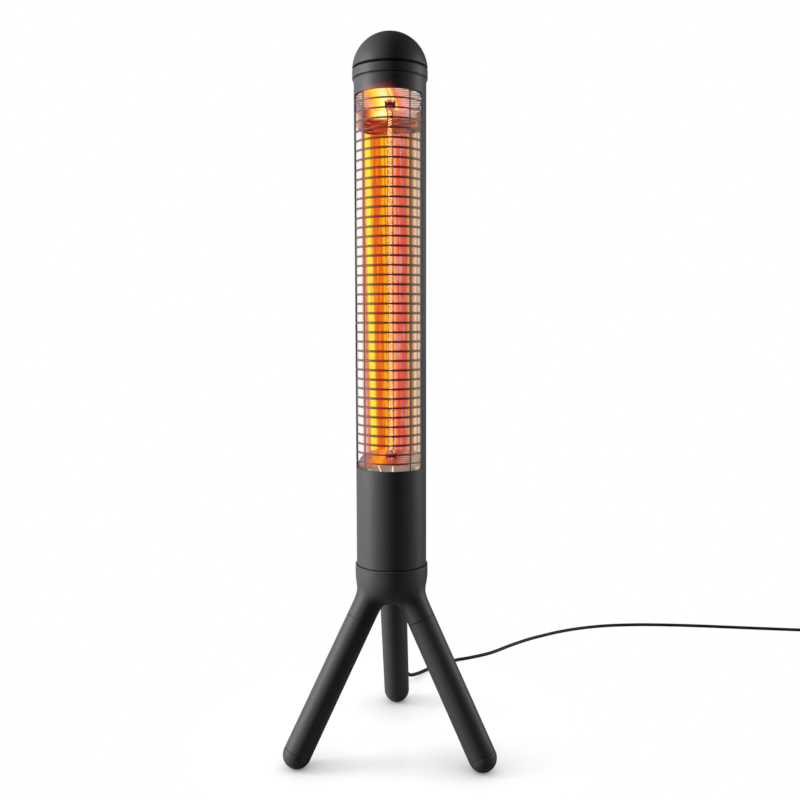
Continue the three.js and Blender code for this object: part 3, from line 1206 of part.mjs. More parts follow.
/** Points of the coil: in and out again in two layers, then a tail that rises to the plug. */
function coilPoints() {
  const forward = new THREE.Vector3(Math.cos(COIL_HEADING), Math.sin(COIL_HEADING), 0);
  const right = new THREE.Vector3(forward.y, -forward.x, 0);
  const start = new THREE.Vector3(...COIL_ENTRY, CORD_FLOOR_HEIGHT);
  const straight = 2 * CORD_RADIUS;
  const centre = start.clone().addScaledVector(forward, straight).addScaledVector(right, COIL_OUTER_RADIUS);
  const points = [start, start.clone().addScaledVector(forward, straight / 2)];
  for (let step = 0; step <= COIL_TURNS * COIL_STEPS; step += 1) {
    const turns = step / COIL_STEPS;
    const fromMiddle = Math.abs(turns - COIL_TURNS / 2);
    const radius = COIL_OUTER_RADIUS - COIL_SPACING * (COIL_TURNS / 2 - fromMiddle);
    const climb = THREE.MathUtils.smoothstep(turns, COIL_TURNS / 2 - 0.25, COIL_TURNS / 2 + 0.25);
    const angle = 2 * Math.PI * turns;
    const point = centre.clone()
      .addScaledVector(right, -radius * Math.cos(angle))
      .addScaledVector(forward, radius * Math.sin(angle));
    point.z += COIL_SPACING * climb;
    points.push(point);
  }
  const last = points[points.length - 1];
  const plugHeight = PLUG_RADIUS + FIT_GAP / 3;
  for (const share of [0.3, 0.6, 0.82, 1]) {
    const point = last.clone().addScaledVector(forward, share * COIL_TAIL);
    point.z += (plugHeight - last.z) * THREE.MathUtils.smoothstep(share, 0, 0.8);
    points.push(point);
  }
  return points;
}

/** A body about Z moved to the coil's end, with its axis along the cord. */
function atPlug(geometry) {
  const end = coil[coil.length - 1];
  return geometry.rotateY(Math.PI / 2).rotateZ(COIL_HEADING).translate(end.x, end.y, end.z);
}

function plugBody() {
  const neckEnd = FIT_GAP + PLUG_NECK_LENGTH;
  const front = neckEnd + PLUG_LENGTH;
  const body = turned([
    [0, FIT_GAP],
    [PLUG_NECK_RADIUS, FIT_GAP],
    [PLUG_NECK_RADIUS + PLUG_NECK_FLARE, neckEnd],
    [PLUG_RADIUS - PLUG_CHAMFER, neckEnd + PLUG_NECK_FLARE],
    [PLUG_RADIUS, neckEnd + PLUG_NECK_FLARE + PLUG_CHAMFER],
    [PLUG_RADIUS, front - PLUG_CHAMFER / 2],
    [PLUG_RADIUS - PLUG_CHAMFER / 2, front],
    [0, front],
  ], CLIP_SIDES);
  const sockets = [-1, 1].map((side) =>
    disc(PLUG_PIN_RADIUS + FIT_GAP, front - PLUG_PIN_SOCKET, front + CUT_OVERRUN, SCREW_SIDES)
      .translate(0, (side * PLUG_PIN_SPACING) / 2, 0));
  return atPlug(cut(body, ...sockets));
}

function plugPin(side) {
  const front = FIT_GAP + PLUG_NECK_LENGTH + PLUG_LENGTH;
  const root = front - PLUG_PIN_SOCKET + FIT_GAP;
  const pin = turned([
    [0, root],
    [PLUG_PIN_RADIUS, root],
    [PLUG_PIN_RADIUS, front + PLUG_PIN_LENGTH - PLUG_PIN_CHAMFER],
    [PLUG_PIN_RADIUS / 2, front + PLUG_PIN_LENGTH],
    [0, front + PLUG_PIN_LENGTH],
  ], SCREW_SIDES);
  return atPlug(pin.translate(0, (side * PLUG_PIN_SPACING) / 2, 0));
}

const coil = coilPoints();
const coilCurve = curveThrough(coil.map((point) => point.toArray()));
const coilSteps = COIL_TURNS * COIL_STEPS + 6;
coilCurve.arcLengthDivisions = 8 * coilSteps;
const coilGap = leastGap(coilCurve.getSpacedPoints(4 * coilSteps), CORD_RADIUS, 2 * COIL_STEPS);
console.log(`least gap of the coil to itself: ${coilGap.toFixed(2)} mm`);

const route = cordRoute();
const cordLength = route.getLength() + coilCurve.getLength();
console.log(`cord outside the object: ${(cordLength / 1000).toFixed(2)} m`);

addPiece(tripod, "cord_gland", cordGland(), RUBBER);
addPiece(tripod, "gland_nut", glandNut(), BLACK_PLASTIC);
addPiece(tripod, "cord_inner", innerCord(), RUBBER);
addPiece(heater, "cord_run", pipe(route, CORD_RADIUS, CORD_SIDES, CORD_STEPS), RUBBER);
addPiece(heater, "cord_coil", pipe(coilCurve, CORD_RADIUS, COIL_SIDES, coilSteps), RUBBER);
addPiece(heater, "plug_body", plugBody(), RUBBER);
addPiece(heater, "plug_pin_left", plugPin(1), BRASS);
addPiece(heater, "plug_pin_right", plugPin(-1), BRASS);

export default heater;
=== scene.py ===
"""Infrared patio heater tower: the fine surfaces, finishes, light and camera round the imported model.

Lengths are in metres, angles in radians. Tower pieces are worked out about the tower's axis, with the
window towards -Y, and then turned and moved onto the tripod.
"""

from math import atan2, cos, pi, radians, sin, tan

import bmesh
import bpy
import numpy as np
from mathutils import Matrix, Vector


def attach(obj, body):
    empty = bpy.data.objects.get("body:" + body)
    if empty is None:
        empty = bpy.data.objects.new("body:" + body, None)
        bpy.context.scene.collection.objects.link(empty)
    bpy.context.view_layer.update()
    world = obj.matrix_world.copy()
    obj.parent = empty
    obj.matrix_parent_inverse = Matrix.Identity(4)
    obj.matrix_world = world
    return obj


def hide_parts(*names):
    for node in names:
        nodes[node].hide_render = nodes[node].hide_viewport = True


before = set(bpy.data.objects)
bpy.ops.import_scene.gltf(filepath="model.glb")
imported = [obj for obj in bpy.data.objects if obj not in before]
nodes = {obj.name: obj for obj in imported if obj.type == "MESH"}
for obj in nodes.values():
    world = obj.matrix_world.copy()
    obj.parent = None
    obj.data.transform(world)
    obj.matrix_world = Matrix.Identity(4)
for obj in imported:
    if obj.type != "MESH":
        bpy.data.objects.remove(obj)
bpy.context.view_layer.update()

# ---------------------------------------------------------------- sizes

FIT_GAP = 0.0003

LEG_TILT = radians(29)
LEG_RADIUS = 0.0251
LEG_WALL = 0.0025
APEX_HEIGHT = 0.3613
STUB_LENGTH = 0.131
SPIGOT_LENGTH = 0.028
SPIGOT_OVERLAP = 0.02
SPIGOT_WALL = 0.004
JOINT_LINE = 0.0006
FOOT_FLAT_DEPTH = 0.0008
FOOT_CAP_RISE = 0.002
FOOT_PLUG_LENGTH = 0.014
SPIGOT_RADIUS = LEG_RADIUS - LEG_WALL - FIT_GAP
FOOT_BALL_PLACE = (APEX_HEIGHT - LEG_RADIUS + FOOT_FLAT_DEPTH) / cos(LEG_TILT)
FOOT_JOINT_PLACE = FOOT_BALL_PLACE - FOOT_CAP_RISE
TOWER_Y = -FOOT_BALL_PLACE * sin(LEG_TILT) / 4
LEG_TURNS = {"rear": 0.0, "front_left": radians(120), "front_right": radians(-120)}

TOWER_TURN = radians(-5.3)
TUBE_RADIUS = 0.0628
TUBE_WALL = 0.0024
TUBE_BOTTOM = 0.3439
TUBE_TOP = 1.193
RIM_RADIUS = 0.0653
RIM_HEIGHT = 0.0047
NECK_RADIUS = TUBE_RADIUS - TUBE_WALL - FIT_GAP
NECK_TOP = 0.3709
NECK_WALL = 0.006
HUB_TOP = 0.3424
HUB_WALL = 0.0045
HUB_HEART = 0.318  # height of the point from which the hub's skin is drawn outward
LIP_HEIGHT = 0.0012
COLLAR_RADIUS = 0.0652
COLLAR_DROP = 0.012
BELL_HEIGHT = 0.059
SEAL_RADIUS = 0.062

WINDOW_BOTTOM = 0.5193
WINDOW_TOP = 1.165
WINDOW_HALF_ANGLE = radians(69)
WINDOW_CORNER = 0.007

WIRE_RADIUS = 0.0014
WIRE_PITCH = 0.01628
WIRE_MARGIN = 0.0144
WIRE_COUNT = 39
UPRIGHT_ANGLE = radians(43)
UPRIGHT_RADIUS = 0.0587
UPRIGHT_OVERRUN = 0.011
GUARD_RADIUS = 0.061

BAND_BOTTOM = 1.1936
BAND_TOP = 1.2079
BAND_INNER = NECK_RADIUS - 0.0057
BAND_LEDGE = 0.003
BAND_DROP = 0.015
GASKET_RADIUS = 0.0643
GASKET_WIDTH = 0.008
DOME_BOTTOM = 1.2122
DOME_CENTRE = 1.2079
DOME_RADIUS = 0.0653
DOME_WALL = 0.003

REFLECTOR_RADIUS = 0.0576
REFLECTOR_SHEET = 0.0008
REFLECTOR_EDGE = radians(72)
REFLECTOR_LIP = 0.0599
REFLECTOR_BACK = radians(144)
REFLECTOR_FACETS = 4
PLATE_THICKNESS = 0.0012
PLATE_RADIUS = 0.0601
SKIRT_WALL = 0.0007
TOP_PLATE = (1.159, radians(-6.7))  # height of its middle, and its tilt
BOTTOM_PLATE = (0.5317, radians(12))

QUARTZ_RADIUS = 0.0055
QUARTZ_WALL = 0.001
LAMP_END_RADIUS = 0.0069
LAMP_COLLAR_RADIUS = 0.0088
FILAMENT_RADIUS = 0.0023
FILAMENT_WIRE_RADIUS = 0.00042
FILAMENT_TURNS = 150

CORD_RADIUS = 0.00375
CORD_FLOOR_HEIGHT = 0.0039
GLAND_PLACE = 0.352
COIL_TURNS = 4
COIL_STEPS = 24
COIL_OUTER_RADIUS = 0.05
COIL_SPACING = 0.0083
COIL_HEADING = radians(-4.5)
COIL_TAIL = 0.045
COIL_ENTRY = (1.046, 0.575)
PLUG_RADIUS = 0.019
PLUG_LENGTH = 0.034
PLUG_BACK = 0.0143  # where the cord's sleeve ends and the moulding begins
PIN_RADIUS = 0.0024
PIN_LENGTH = 0.019
PIN_ROOT = 0.007
PIN_OFFSET = 0.0095

SCREW_HEAD_RADIUS = 0.0036
GRUB_PLACE = STUB_LENGTH + 0.014
GRUB_OUT = LEG_RADIUS - 0.0018

# ---------------------------------------------------------------- camera

CAMERA_DISTANCE = 1.5826
CAMERA_HEIGHT = 0.7854
CAMERA_TURN = radians(3.02)  # of the tripod towards the camera's right
CAMERA_YAW = 0.0101
CAMERA_PITCH = 0.0926
CAMERA_ROLL = -0.0024
FOCAL_PIXELS = 890.6
PICTURE_PIXELS = 800
SENSOR_WIDTH = 36


def make_camera():
    """The photograph's camera: its axes are the forward direction, and right and up turned by the roll."""
    heading = CAMERA_TURN - CAMERA_YAW
    level = cos(CAMERA_PITCH)
    forward = Vector((-sin(heading) * level, cos(heading) * level, -sin(CAMERA_PITCH)))
    level_right = Vector((cos(heading), sin(heading), 0))
    level_up = level_right.cross(forward)
    right = cos(CAMERA_ROLL) * level_right + sin(CAMERA_ROLL) * level_up
    up = -sin(CAMERA_ROLL) * level_right + cos(CAMERA_ROLL) * level_up
    data = bpy.data.cameras.new("photo_camera")
    data.sensor_width = SENSOR_WIDTH
    data.lens = FOCAL_PIXELS / PICTURE_PIXELS * SENSOR_WIDTH
    data.clip_start, data.clip_end = 0.05, 60
    camera = bpy.data.objects.new("photo_camera", data)
    bpy.context.scene.collection.objects.link(camera)
    camera.matrix_world = Matrix((
        (right.x, up.x, -forward.x, CAMERA_DISTANCE * sin(CAMERA_TURN)),
        (right.y, up.y, -forward.y, TOWER_Y - CAMERA_DISTANCE * cos(CAMERA_TURN)),
        (right.z, up.z, -forward.z, CAMERA_HEIGHT),
        (0, 0, 0, 1),
    ))
    bpy.context.scene.camera = camera


make_camera()

# ---------------------------------------------------------------- shaping

UPRIGHT = (0, 0, 1)


def turn_z(points, angle):
    """Points turned about the upright axis."""
    c, s = cos(angle), sin(angle)
    return points @ np.array([[c, s, 0], [-s, c, 0], [0, 0, 1]])


def turn_x(points, angle):
    """Points turned about X, so that +Y goes towards +Z."""
    c, s = cos(angle), sin(angle)
    return points @ np.array([[1, 0, 0], [0, c, s], [0, -s, c]])


def in_tower(points):
    """Points about the tower's axis, put in the tower's place."""
    return turn_z(points, TOWER_TURN) + (0, TOWER_Y, 0)


def on_leg(points, turn):
    """Points about the upright axis, with the legs' meeting point at the origin, put on a leg."""
    return turn_z(turn_x(points, LEG_TILT) + (0, 0, APEX_HEIGHT), turn) + (0, TOWER_Y, 0)


def outward(points, angle, height):
    """Points about the upright axis, laid to point away from the tower's axis, then put in its place."""
    return in_tower(turn_z(turn_x(points, pi / 2), angle) + (0, 0, height))


def rounded(outline, size, steps=3):
    """An outline with eased corners: each is a quadratic curve from and to a distance along its sides."""
    corner = np.asarray(outline, float)
    before = np.vstack([corner[:1], corner[:-1]]) - corner
    after = np.vstack([corner[1:], corner[-1:]]) - corner
    lengths = [np.maximum(np.linalg.norm(side, axis=1, keepdims=True), 1e-12) for side in (before, after)]
    start = corner + before * np.minimum(size / lengths[0], 0.45)
    end = corner + after * np.minimum(size / lengths[1], 0.45)
    t = np.linspace(0, 1, steps + 1)[None, :, None]
    eased = (1 - t) ** 2 * start[:, None] + 2 * t * (1 - t) * corner[:, None] + t ** 2 * end[:, None]
    return eased.reshape(-1, corner.shape[1])


def ring_profile(inner, outer, low, high, ease):
    """The closed outline of a plain ring, eased except at its inner lower edge, where it starts."""
    return rounded([(inner, low), (outer, low), (outer, high), (inner, high), (inner, low)], ease)


def tube_profile(outer, wall, start, end, ease):
    """The closed outline of a tube's wall, eased except at its outer edge at the start."""
    inner = outer - wall
    return rounded([(outer, start), (outer, end), (inner, end), (inner, start), (outer, start)], ease)


def around(radius, angle, height):
    """Points at a radius, an angle from -Y and a height about the upright axis."""
    return np.stack(np.broadcast_arrays(radius * np.sin(angle), -radius * np.cos(angle), height), -1)


def turned(profile, sides=96):
    """A grid about the upright axis: each row is a circle at a profile point's radius and height."""
    radius, height = np.asarray(profile, float).T[..., None]
    return around(radius, np.arange(sides) * (2 * pi / sides), height), False, True


def moved(grid, place):
    """A grid with its points put in place by a function."""
    points, wrap_rows, wrap_columns = grid
    return place(points.reshape(-1, 3)).reshape(points.shape), wrap_rows, wrap_columns


def pipe(path, radius, sides, guide):
    """A grid round a path: circles across its direction, measured from a guide direction, ends drawn in."""
    path = np.asarray(path, float)
    along = np.gradient(path, axis=0)
    along /= np.linalg.norm(along, axis=1, keepdims=True)
    guide = np.broadcast_to(np.asarray(guide, float), path.shape)
    across = guide - along * np.sum(guide * along, axis=1, keepdims=True)
    across /= np.linalg.norm(across, axis=1, keepdims=True)
    third = np.cross(along, across)
    angle = np.arange(sides) * (2 * pi / sides)
    circle = across[:, None] * np.cos(angle)[None, :, None] + third[:, None] * np.sin(angle)[None, :, None]
    points = path[:, None] + radius * circle
    ends = [np.repeat(end[None, None], sides, 1) for end in (path[0], path[-1])]
    return np.concatenate([ends[0], points, ends[1]]), False, True


def quads(rows, columns, wrap_rows, wrap_columns):
    """Corner numbers of the quads between neighbouring points of a grid."""
    row = np.arange(rows if wrap_rows else rows - 1)[:, None]
    column = np.arange(columns if wrap_columns else columns - 1)[None, :]
    next_row, next_column = (row + 1) % rows, (column + 1) % columns
    corners = [(row, column), (row, next_column), (next_row, next_column), (next_row, column)]
    return np.stack([r * columns + c for r, c in corners], -1).reshape(-1, 4)


def faces_away(points, faces):
    """Whether quads face away from their middle: the sum of area vectors times places is positive."""
    a, b, c, d = (points[faces[:, corner]] for corner in range(4))
    return float(np.sum(np.cross(c - a, d - b) * ((a + b + c + d) / 4 - points.mean(0)))) > 0


def piece(name, grids, finish, replaces=(), body="heater", sharp=35, shell_kind="closed"):
    """One object made of grids: seams merged, edges sharp where the faces turn past an angle. A closed
    shell's faces are turned outward, an open one's away from the middle of their grid, a sheet's stay."""
    points, faces, offset = [], [], 0
    for grid, wrap_rows, wrap_columns in grids:
        points.append(grid.reshape(-1, 3))
        corners = quads(*grid.shape[:2], wrap_rows, wrap_columns)
        if shell_kind == "open" and not faces_away(points[-1], corners):
            corners = corners[:, ::-1]
        faces.append(corners + offset)
        offset += len(points[-1])
    mesh = bpy.data.meshes.new(name)
    mesh.from_pydata(np.concatenate(points).tolist(), [], np.concatenate(faces).tolist())
    shell = bmesh.new()
    shell.from_mesh(mesh)
    bmesh.ops.remove_doubles(shell, verts=shell.verts, dist=2e-6)
    if shell_kind == "closed":
        bmesh.ops.recalc_face_normals(shell, faces=shell.faces)
    for face in shell.faces:
        face.smooth = True
    for edge in shell.edges:
        edge.smooth = edge.calc_face_angle(0) < radians(sharp)
    shell.to_mesh(mesh)
    shell.free()
    mesh.materials.append(finish)
    made = bpy.data.objects.new(name, mesh)
    bpy.context.scene.collection.objects.link(made)
    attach(made, body)
    if replaces:
        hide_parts(*replaces)
    return made


# ---------------------------------------------------------------- materials


def colour(code):
    """The linear colour of a six-digit code."""
    parts = [int(code[i:i + 2], 16) / 255 for i in (0, 2, 4)]
    return tuple(p / 12.92 if p <= 0.04045 else ((p + 0.055) / 1.055) ** 2.4 for p in parts) + (1,)


class Nodes:
    """Short calls for the nodes and links of one node tree."""

    def __init__(self, tree):
        self.tree = tree

    def add(self, kind, **settings):
        node = self.tree.nodes.new(kind)
        for key, value in settings.items():
            setattr(node, key, value)
        return node

    def link(self, source, target):
        self.tree.links.new(source, target)

    def put(self, value, target):
        if isinstance(value, bpy.types.NodeSocket):
            self.link(value, target)
        elif value is not None:
            target.default_value = value

    def fill(self, node, values):
        for name, value in values.items():
            self.put(value, node.inputs[name])

    def math(self, operation, *values, clamp=False):
        node = self.add("ShaderNodeMath", operation=operation, use_clamp=clamp)
        for value, target in zip(values, node.inputs):
            self.put(value, target)
        return node.outputs[0]

    def plus(self, first, second, clamp=False):
        return self.math("ADD", first, second, clamp=clamp)

    def minus(self, first, second):
        return self.math("SUBTRACT", first, second)

    def times(self, first, second):
        return self.math("MULTIPLY", first, second)

    def noise(self, vector, scale, detail=3.0, roughness=0.55):
        node = self.add("ShaderNodeTexNoise")
        self.fill(node, {"Vector": vector, "Scale": scale, "Detail": detail, "Roughness": roughness})
        return node.outputs["Fac"]

    def place(self, location=(0, 0, 0), scale=(1, 1, 1)):
        """Object coordinates, shifted and stretched."""
        coordinate = self.add("ShaderNodeTexCoord").outputs["Object"]
        node = self.add("ShaderNodeMapping", vector_type="POINT")
        self.fill(node, {"Vector": coordinate, "Location": location, "Scale": scale})
        return node.outputs["Vector"]

    def split(self, vector):
        node = self.add("ShaderNodeSeparateXYZ")
        self.link(vector, node.inputs[0])
        return node.outputs

    def range(self, value, low, high, to_low=0.0, to_high=1.0, smooth=False):
        node = self.add("ShaderNodeMapRange", interpolation_type="SMOOTHSTEP" if smooth else "LINEAR")
        self.fill(node, {
            "Value": value, "From Min": low, "From Max": high, "To Min": to_low, "To Max": to_high})
        return node.outputs["Result"]

    def mix(self, factor, first, second, blend="MIX"):
        node = self.add("ShaderNodeMix", data_type="RGBA", blend_type=blend)
        self.put(factor, node.inputs[0])
        self.put(first, node.inputs[6])
        self.put(second, node.inputs[7])
        return node.outputs[2]

    def ramp(self, value, stops):
        node = self.add("ShaderNodeValToRGB")
        self.put(value, node.inputs[0])
        elements = node.color_ramp.elements
        while len(elements) < len(stops):
            elements.new(1.0)
        for element, (place, shade) in zip(elements, stops):
            element.position = place
            element.color = colour(shade)
        return node.outputs["Color"]

    def bump(self, height, strength, distance):
        node = self.add("ShaderNodeBump")
        self.fill(node, {"Height": height, "Strength": strength, "Distance": distance})
        return node.outputs["Normal"]


def group(name, inputs, outputs, build):
    """A node group with named sockets: inputs and outputs map a name to a socket kind and start value."""
    tree = bpy.data.node_groups.new(name, "ShaderNodeTree")
    for direction, sockets in (("INPUT", inputs), ("OUTPUT", outputs)):
        for socket_name, (kind, start) in sockets.items():
            socket = tree.interface.new_socket(name=socket_name, in_out=direction, socket_type=kind)
            if start is not None:
                socket.default_value = start
    net = Nodes(tree)
    source, sink = net.add("NodeGroupInput"), net.add("NodeGroupOutput")
    for socket_name, value in build(net, source.outputs).items():
        net.put(value, sink.inputs[socket_name])
    return tree


NUMBER, COLOUR, VECTOR = "NodeSocketFloat", "NodeSocketColor", "NodeSocketVector"


def speckle_network(net, given):
    """Fine grain: a mottled colour, a roughness with slow changes, and a bump from two sizes of noise."""
    coordinate = net.add("ShaderNodeTexCoord").outputs["Object"]
    fine, slow = net.add("ShaderNodeTexNoise"), net.add("ShaderNodeTexNoise")
    for node, scale, detail in ((fine, "Grain Scale", 2.0), (slow, "Mottle Scale", 4.0)):
        net.fill(node, {"Vector": coordinate, "Scale": given[scale], "Detail": detail})
    grain = net.minus(fine.outputs["Fac"], 0.5)
    mottle = net.minus(slow.outputs["Fac"], 0.5)
    shift = net.plus(net.times(grain, 0.5), mottle)
    lighter = net.plus(net.times(shift, given["Colour Change"]), 1.0)
    tint = net.add("ShaderNodeVectorMath", operation="SCALE")
    net.fill(tint, {"Vector": given["Colour"], "Scale": lighter})
    unevenness = net.times(mottle, given["Roughness Change"])
    rough = net.plus(given["Roughness"], unevenness, clamp=True)
    normal = net.bump(fine.outputs["Fac"], given["Bump"], 0.0002)
    return {"Colour": tint.outputs[0], "Roughness": rough, "Normal": normal}


SPECKLE = group("fine_grain", {
    "Colour": (COLOUR, (0.5, 0.5, 0.5, 1)),
    "Roughness": (NUMBER, 0.5),
    "Grain Scale": (NUMBER, 1500.0),
    "Mottle Scale": (NUMBER, 30.0),
    "Colour Change": (NUMBER, 0.2),
    "Roughness Change": (NUMBER, 0.1),
    "Bump": (NUMBER, 0.2),
}, {"Colour": (COLOUR, None), "Roughness": (NUMBER, None), "Normal": (VECTOR, None)}, speckle_network)


def shader(name):
    """A new material and its nodes and Principled shader."""
    made = bpy.data.materials.new(name)
    made.use_nodes = True
    return made, Nodes(made.node_tree), made.node_tree.nodes["Principled BSDF"]


def grained(name, code, roughness, grain, mottle, change, bump, metallic=0.0, specular=0.5):
    """A material whose colour, roughness and normal come from the grain group."""
    made, net, bsdf = shader(name)
    speckle = net.add("ShaderNodeGroup", node_tree=SPECKLE)
    net.fill(speckle, {"Colour": colour(code), "Roughness": roughness, "Grain Scale": grain,
                       "Mottle Scale": mottle, "Colour Change": change, "Bump": bump})
    grainy = speckle.outputs
    net.fill(bsdf, {"Base Color": grainy["Colour"], "Roughness": grainy["Roughness"],
                    "Normal": grainy["Normal"], "Metallic": metallic, "Specular IOR Level": specular})
    return made, net, bsdf


def tower_place(net, scale=(1, 1, 1), turn=-TOWER_TURN):
    """Object coordinates turned and moved so that the tower's axis is Z and its window looks to -Y."""
    back = net.place(location=(0, -TOWER_Y, 0))
    node = net.add("ShaderNodeMapping", vector_type="POINT")
    net.fill(node, {"Vector": back, "Rotation": (0, 0, turn), "Scale": scale})
    return node.outputs["Vector"]


def angle_round_tower(net, axes):
    """The angle round the tower from the middle of the window, left negative, in turns."""
    forward = net.times(axes["Y"], -1.0)
    return net.math("DIVIDE", net.math("ARCTAN2", axes["X"], forward), 2 * pi)


# Each finish: colour, roughness, grain scale, mottle scale, how far the colour changes, and bump
COAT = ("383839", 0.5, 2600.0, 22.0, 0.16, 0.1)
COAT_GLOSS = 0.26
POWDER_COAT = grained("powder_coat", *COAT, specular=COAT_GLOSS)[0]
FOOT_RUBBER = grained("foot_rubber", "363637", 0.55, 3000.0, 40.0, 0.2, 0.15, specular=COAT_GLOSS)[0]
CORD_RUBBER = grained("cord_rubber", "0a0a0b", 0.55, 1400.0, 60.0, 0.4, 0.25, specular=0.3)[0]
GASKET_RUBBER = grained("gasket_rubber", "040404", 0.8, 2400.0, 60.0, 0.4, 0.2, specular=0.12)[0]
SCREW_STEEL = grained("zinc_steel", "8c8d90", 0.34, 2200.0, 300.0, 0.25, 0.08, metallic=1.0)[0]
SHEET_STEEL = grained("sheet_steel", "a2a3a5", 0.38, 700.0, 60.0, 0.35, 0.12, metallic=1.0)[0]
BRASS = grained("brass", "b59a5b", 0.3, 1600.0, 120.0, 0.25, 0.06, metallic=1.0)[0]
BLACK_PLASTIC = grained("black_plastic", "161618", 0.42, 2600.0, 60.0, 0.2, 0.12)[0]
PALE_PLASTIC = grained("pale_plastic", "dcd8cc", 0.48, 1500.0, 60.0, 0.1, 0.06, specular=0.45)[0]
CERAMIC = grained("ceramic", "e6dfd0", 0.6, 1500.0, 200.0, 0.14, 0.2, specular=0.45)[0]


def make_lamp_lit(name, dark, light, roughness, metallic, stops):
    """A material next to the lamp: mottled by noise, with an uneven glow of painted lamp light."""
    made, net, bsdf = shader(name)
    mottle = net.noise(net.place(), 260, 3)
    net.fill(bsdf, {
        "Base Color": net.mix(mottle, colour(dark), colour(light)),
        "Emission Color": net.ramp(mottle, stops),
        "Emission Strength": 0.8,
        "Roughness": net.range(mottle, 0.3, 0.7, roughness - 0.06, roughness + 0.06),
        "Metallic": metallic,
        "Normal": net.bump(mottle, 0.2, 0.0002),
    })
    return made


# Lamp sockets and clips, whose glow is painted light from the lamp
LAMP_LIT_CERAMIC = make_lamp_lit("lamp_lit_ceramic", "7c4438", "b07060", 0.6, 0.0, [
    (0.36, "6c1c14"), (0.48, "b85848"), (0.6, "f0b8a4")])
LAMP_LIT_SPRING_STEEL = make_lamp_lit("lamp_lit_spring_steel", "2a0c0a", "441410", 0.45, 0.7, [
    (0.35, "2c0406"), (0.55, "5c0c0c"), (0.7, "8c2418")])


def make_sleeve_cloth():
    """Glass-fibre sleeve: a weave of two slanted sets of ridges, with darker gaps between the threads."""
    made, net, bsdf = shader("woven_sleeve")
    waves = []
    for slant in (1, -1):
        wave = net.add("ShaderNodeTexWave", wave_type="BANDS", bands_direction="DIAGONAL")
        net.fill(wave, {"Vector": net.place(scale=(slant, 1, 1)), "Scale": 260})
        waves.append(wave.outputs["Fac"])
    weave = net.math("MAXIMUM", *waves)
    net.fill(bsdf, {"Base Color": net.mix(weave, colour("8f8a7c"), colour("d8d3c4")),
                    "Normal": net.bump(weave, 0.4, 0.0002), "Roughness": 0.85})
    return made


SLEEVE_CLOTH = make_sleeve_cloth()


def make_coat_with_painted_glow():
    """The tube's powder coat, with a faint red glow of painted lamp light just above the window that fades up
    and sideways, and a dark line of painted shade at the very top where the rim meets the cap."""
    made, net, bsdf = grained("powder_coat_with_painted_glow", *COAT, specular=COAT_GLOSS)
    axes = net.split(tower_place(net))
    turn = angle_round_tower(net, axes)
    # painted lamp light spilling onto the coat just above the window
    up = net.range(axes["Z"], WINDOW_TOP - 0.002, WINDOW_TOP + 0.013, 1, 0, smooth=True)
    above = net.range(axes["Z"], WINDOW_TOP - 0.012, WINDOW_TOP - 0.004, 0, 1)
    side = net.math("ABSOLUTE", net.plus(turn, 0.035))
    middle = net.range(side, 0.02, 0.1, 1, 0, smooth=True)
    glow = net.times(net.times(up, above), middle)
    net.fill(bsdf, {"Emission Color": net.mix(glow, colour("000000"), colour("8c1c22")),
                    "Emission Strength": 1.0})
    coat = bsdf.inputs["Base Color"].links[0].from_socket
    # painted shade in the seam where the rim meets the cap
    seam = net.range(axes["Z"], TUBE_TOP - 0.0022, TUBE_TOP - 0.0012)
    net.link(net.mix(seam, coat, colour("060606")), bsdf.inputs["Base Color"])
    return made


COAT_WITH_PAINTED_GLOW = make_coat_with_painted_glow()


# Painted lamp light on the guard round the window, from its left edge (0) to its right one (1)
GUARD_PAINTED_GLOW = [
    (0.0, "7c7074"), (0.12, "807276"), (0.2, "7e6464"), (0.28, "8a5844"), (0.34, "7c3826"),
    (0.42, "6e2410"), (0.54, "641c0a"), (0.6, "400806"), (0.68, "3a0c0a"), (0.76, "4a2820"),
    (0.84, "66544c"), (0.92, "5c4e4a"), (1.0, "484444"),
]


def make_guard_coat():
    """Dark satin coat on the wires, with a faint painted glow of lamp light in warm tints by the angle round
    the tower.
    """
    made, net, bsdf = shader("guard_coat")
    axes = net.split(tower_place(net))
    turn = angle_round_tower(net, axes)
    stain_and_glow_sway = net.noise(net.place(scale=(1, 1, 0.4)), 90, 4)
    across = net.plus(net.range(turn, -0.192, 0.192), net.times(stain_and_glow_sway, 0.04))
    net.fill(bsdf, {
        "Base Color": net.mix(stain_and_glow_sway, colour("241c1e"), colour("352a2c")),
        "Emission Color": net.ramp(net.minus(across, 0.02), GUARD_PAINTED_GLOW),
        "Emission Strength": 0.7,
        "Roughness": net.range(stain_and_glow_sway, 0.3, 0.7, 0.38, 0.52),
        "Metallic": 0.2,
        "Normal": net.bump(net.noise(net.place(), 2400, 2), 0.12, 0.0002),
    })
    return made


GUARD_COAT = make_guard_coat()

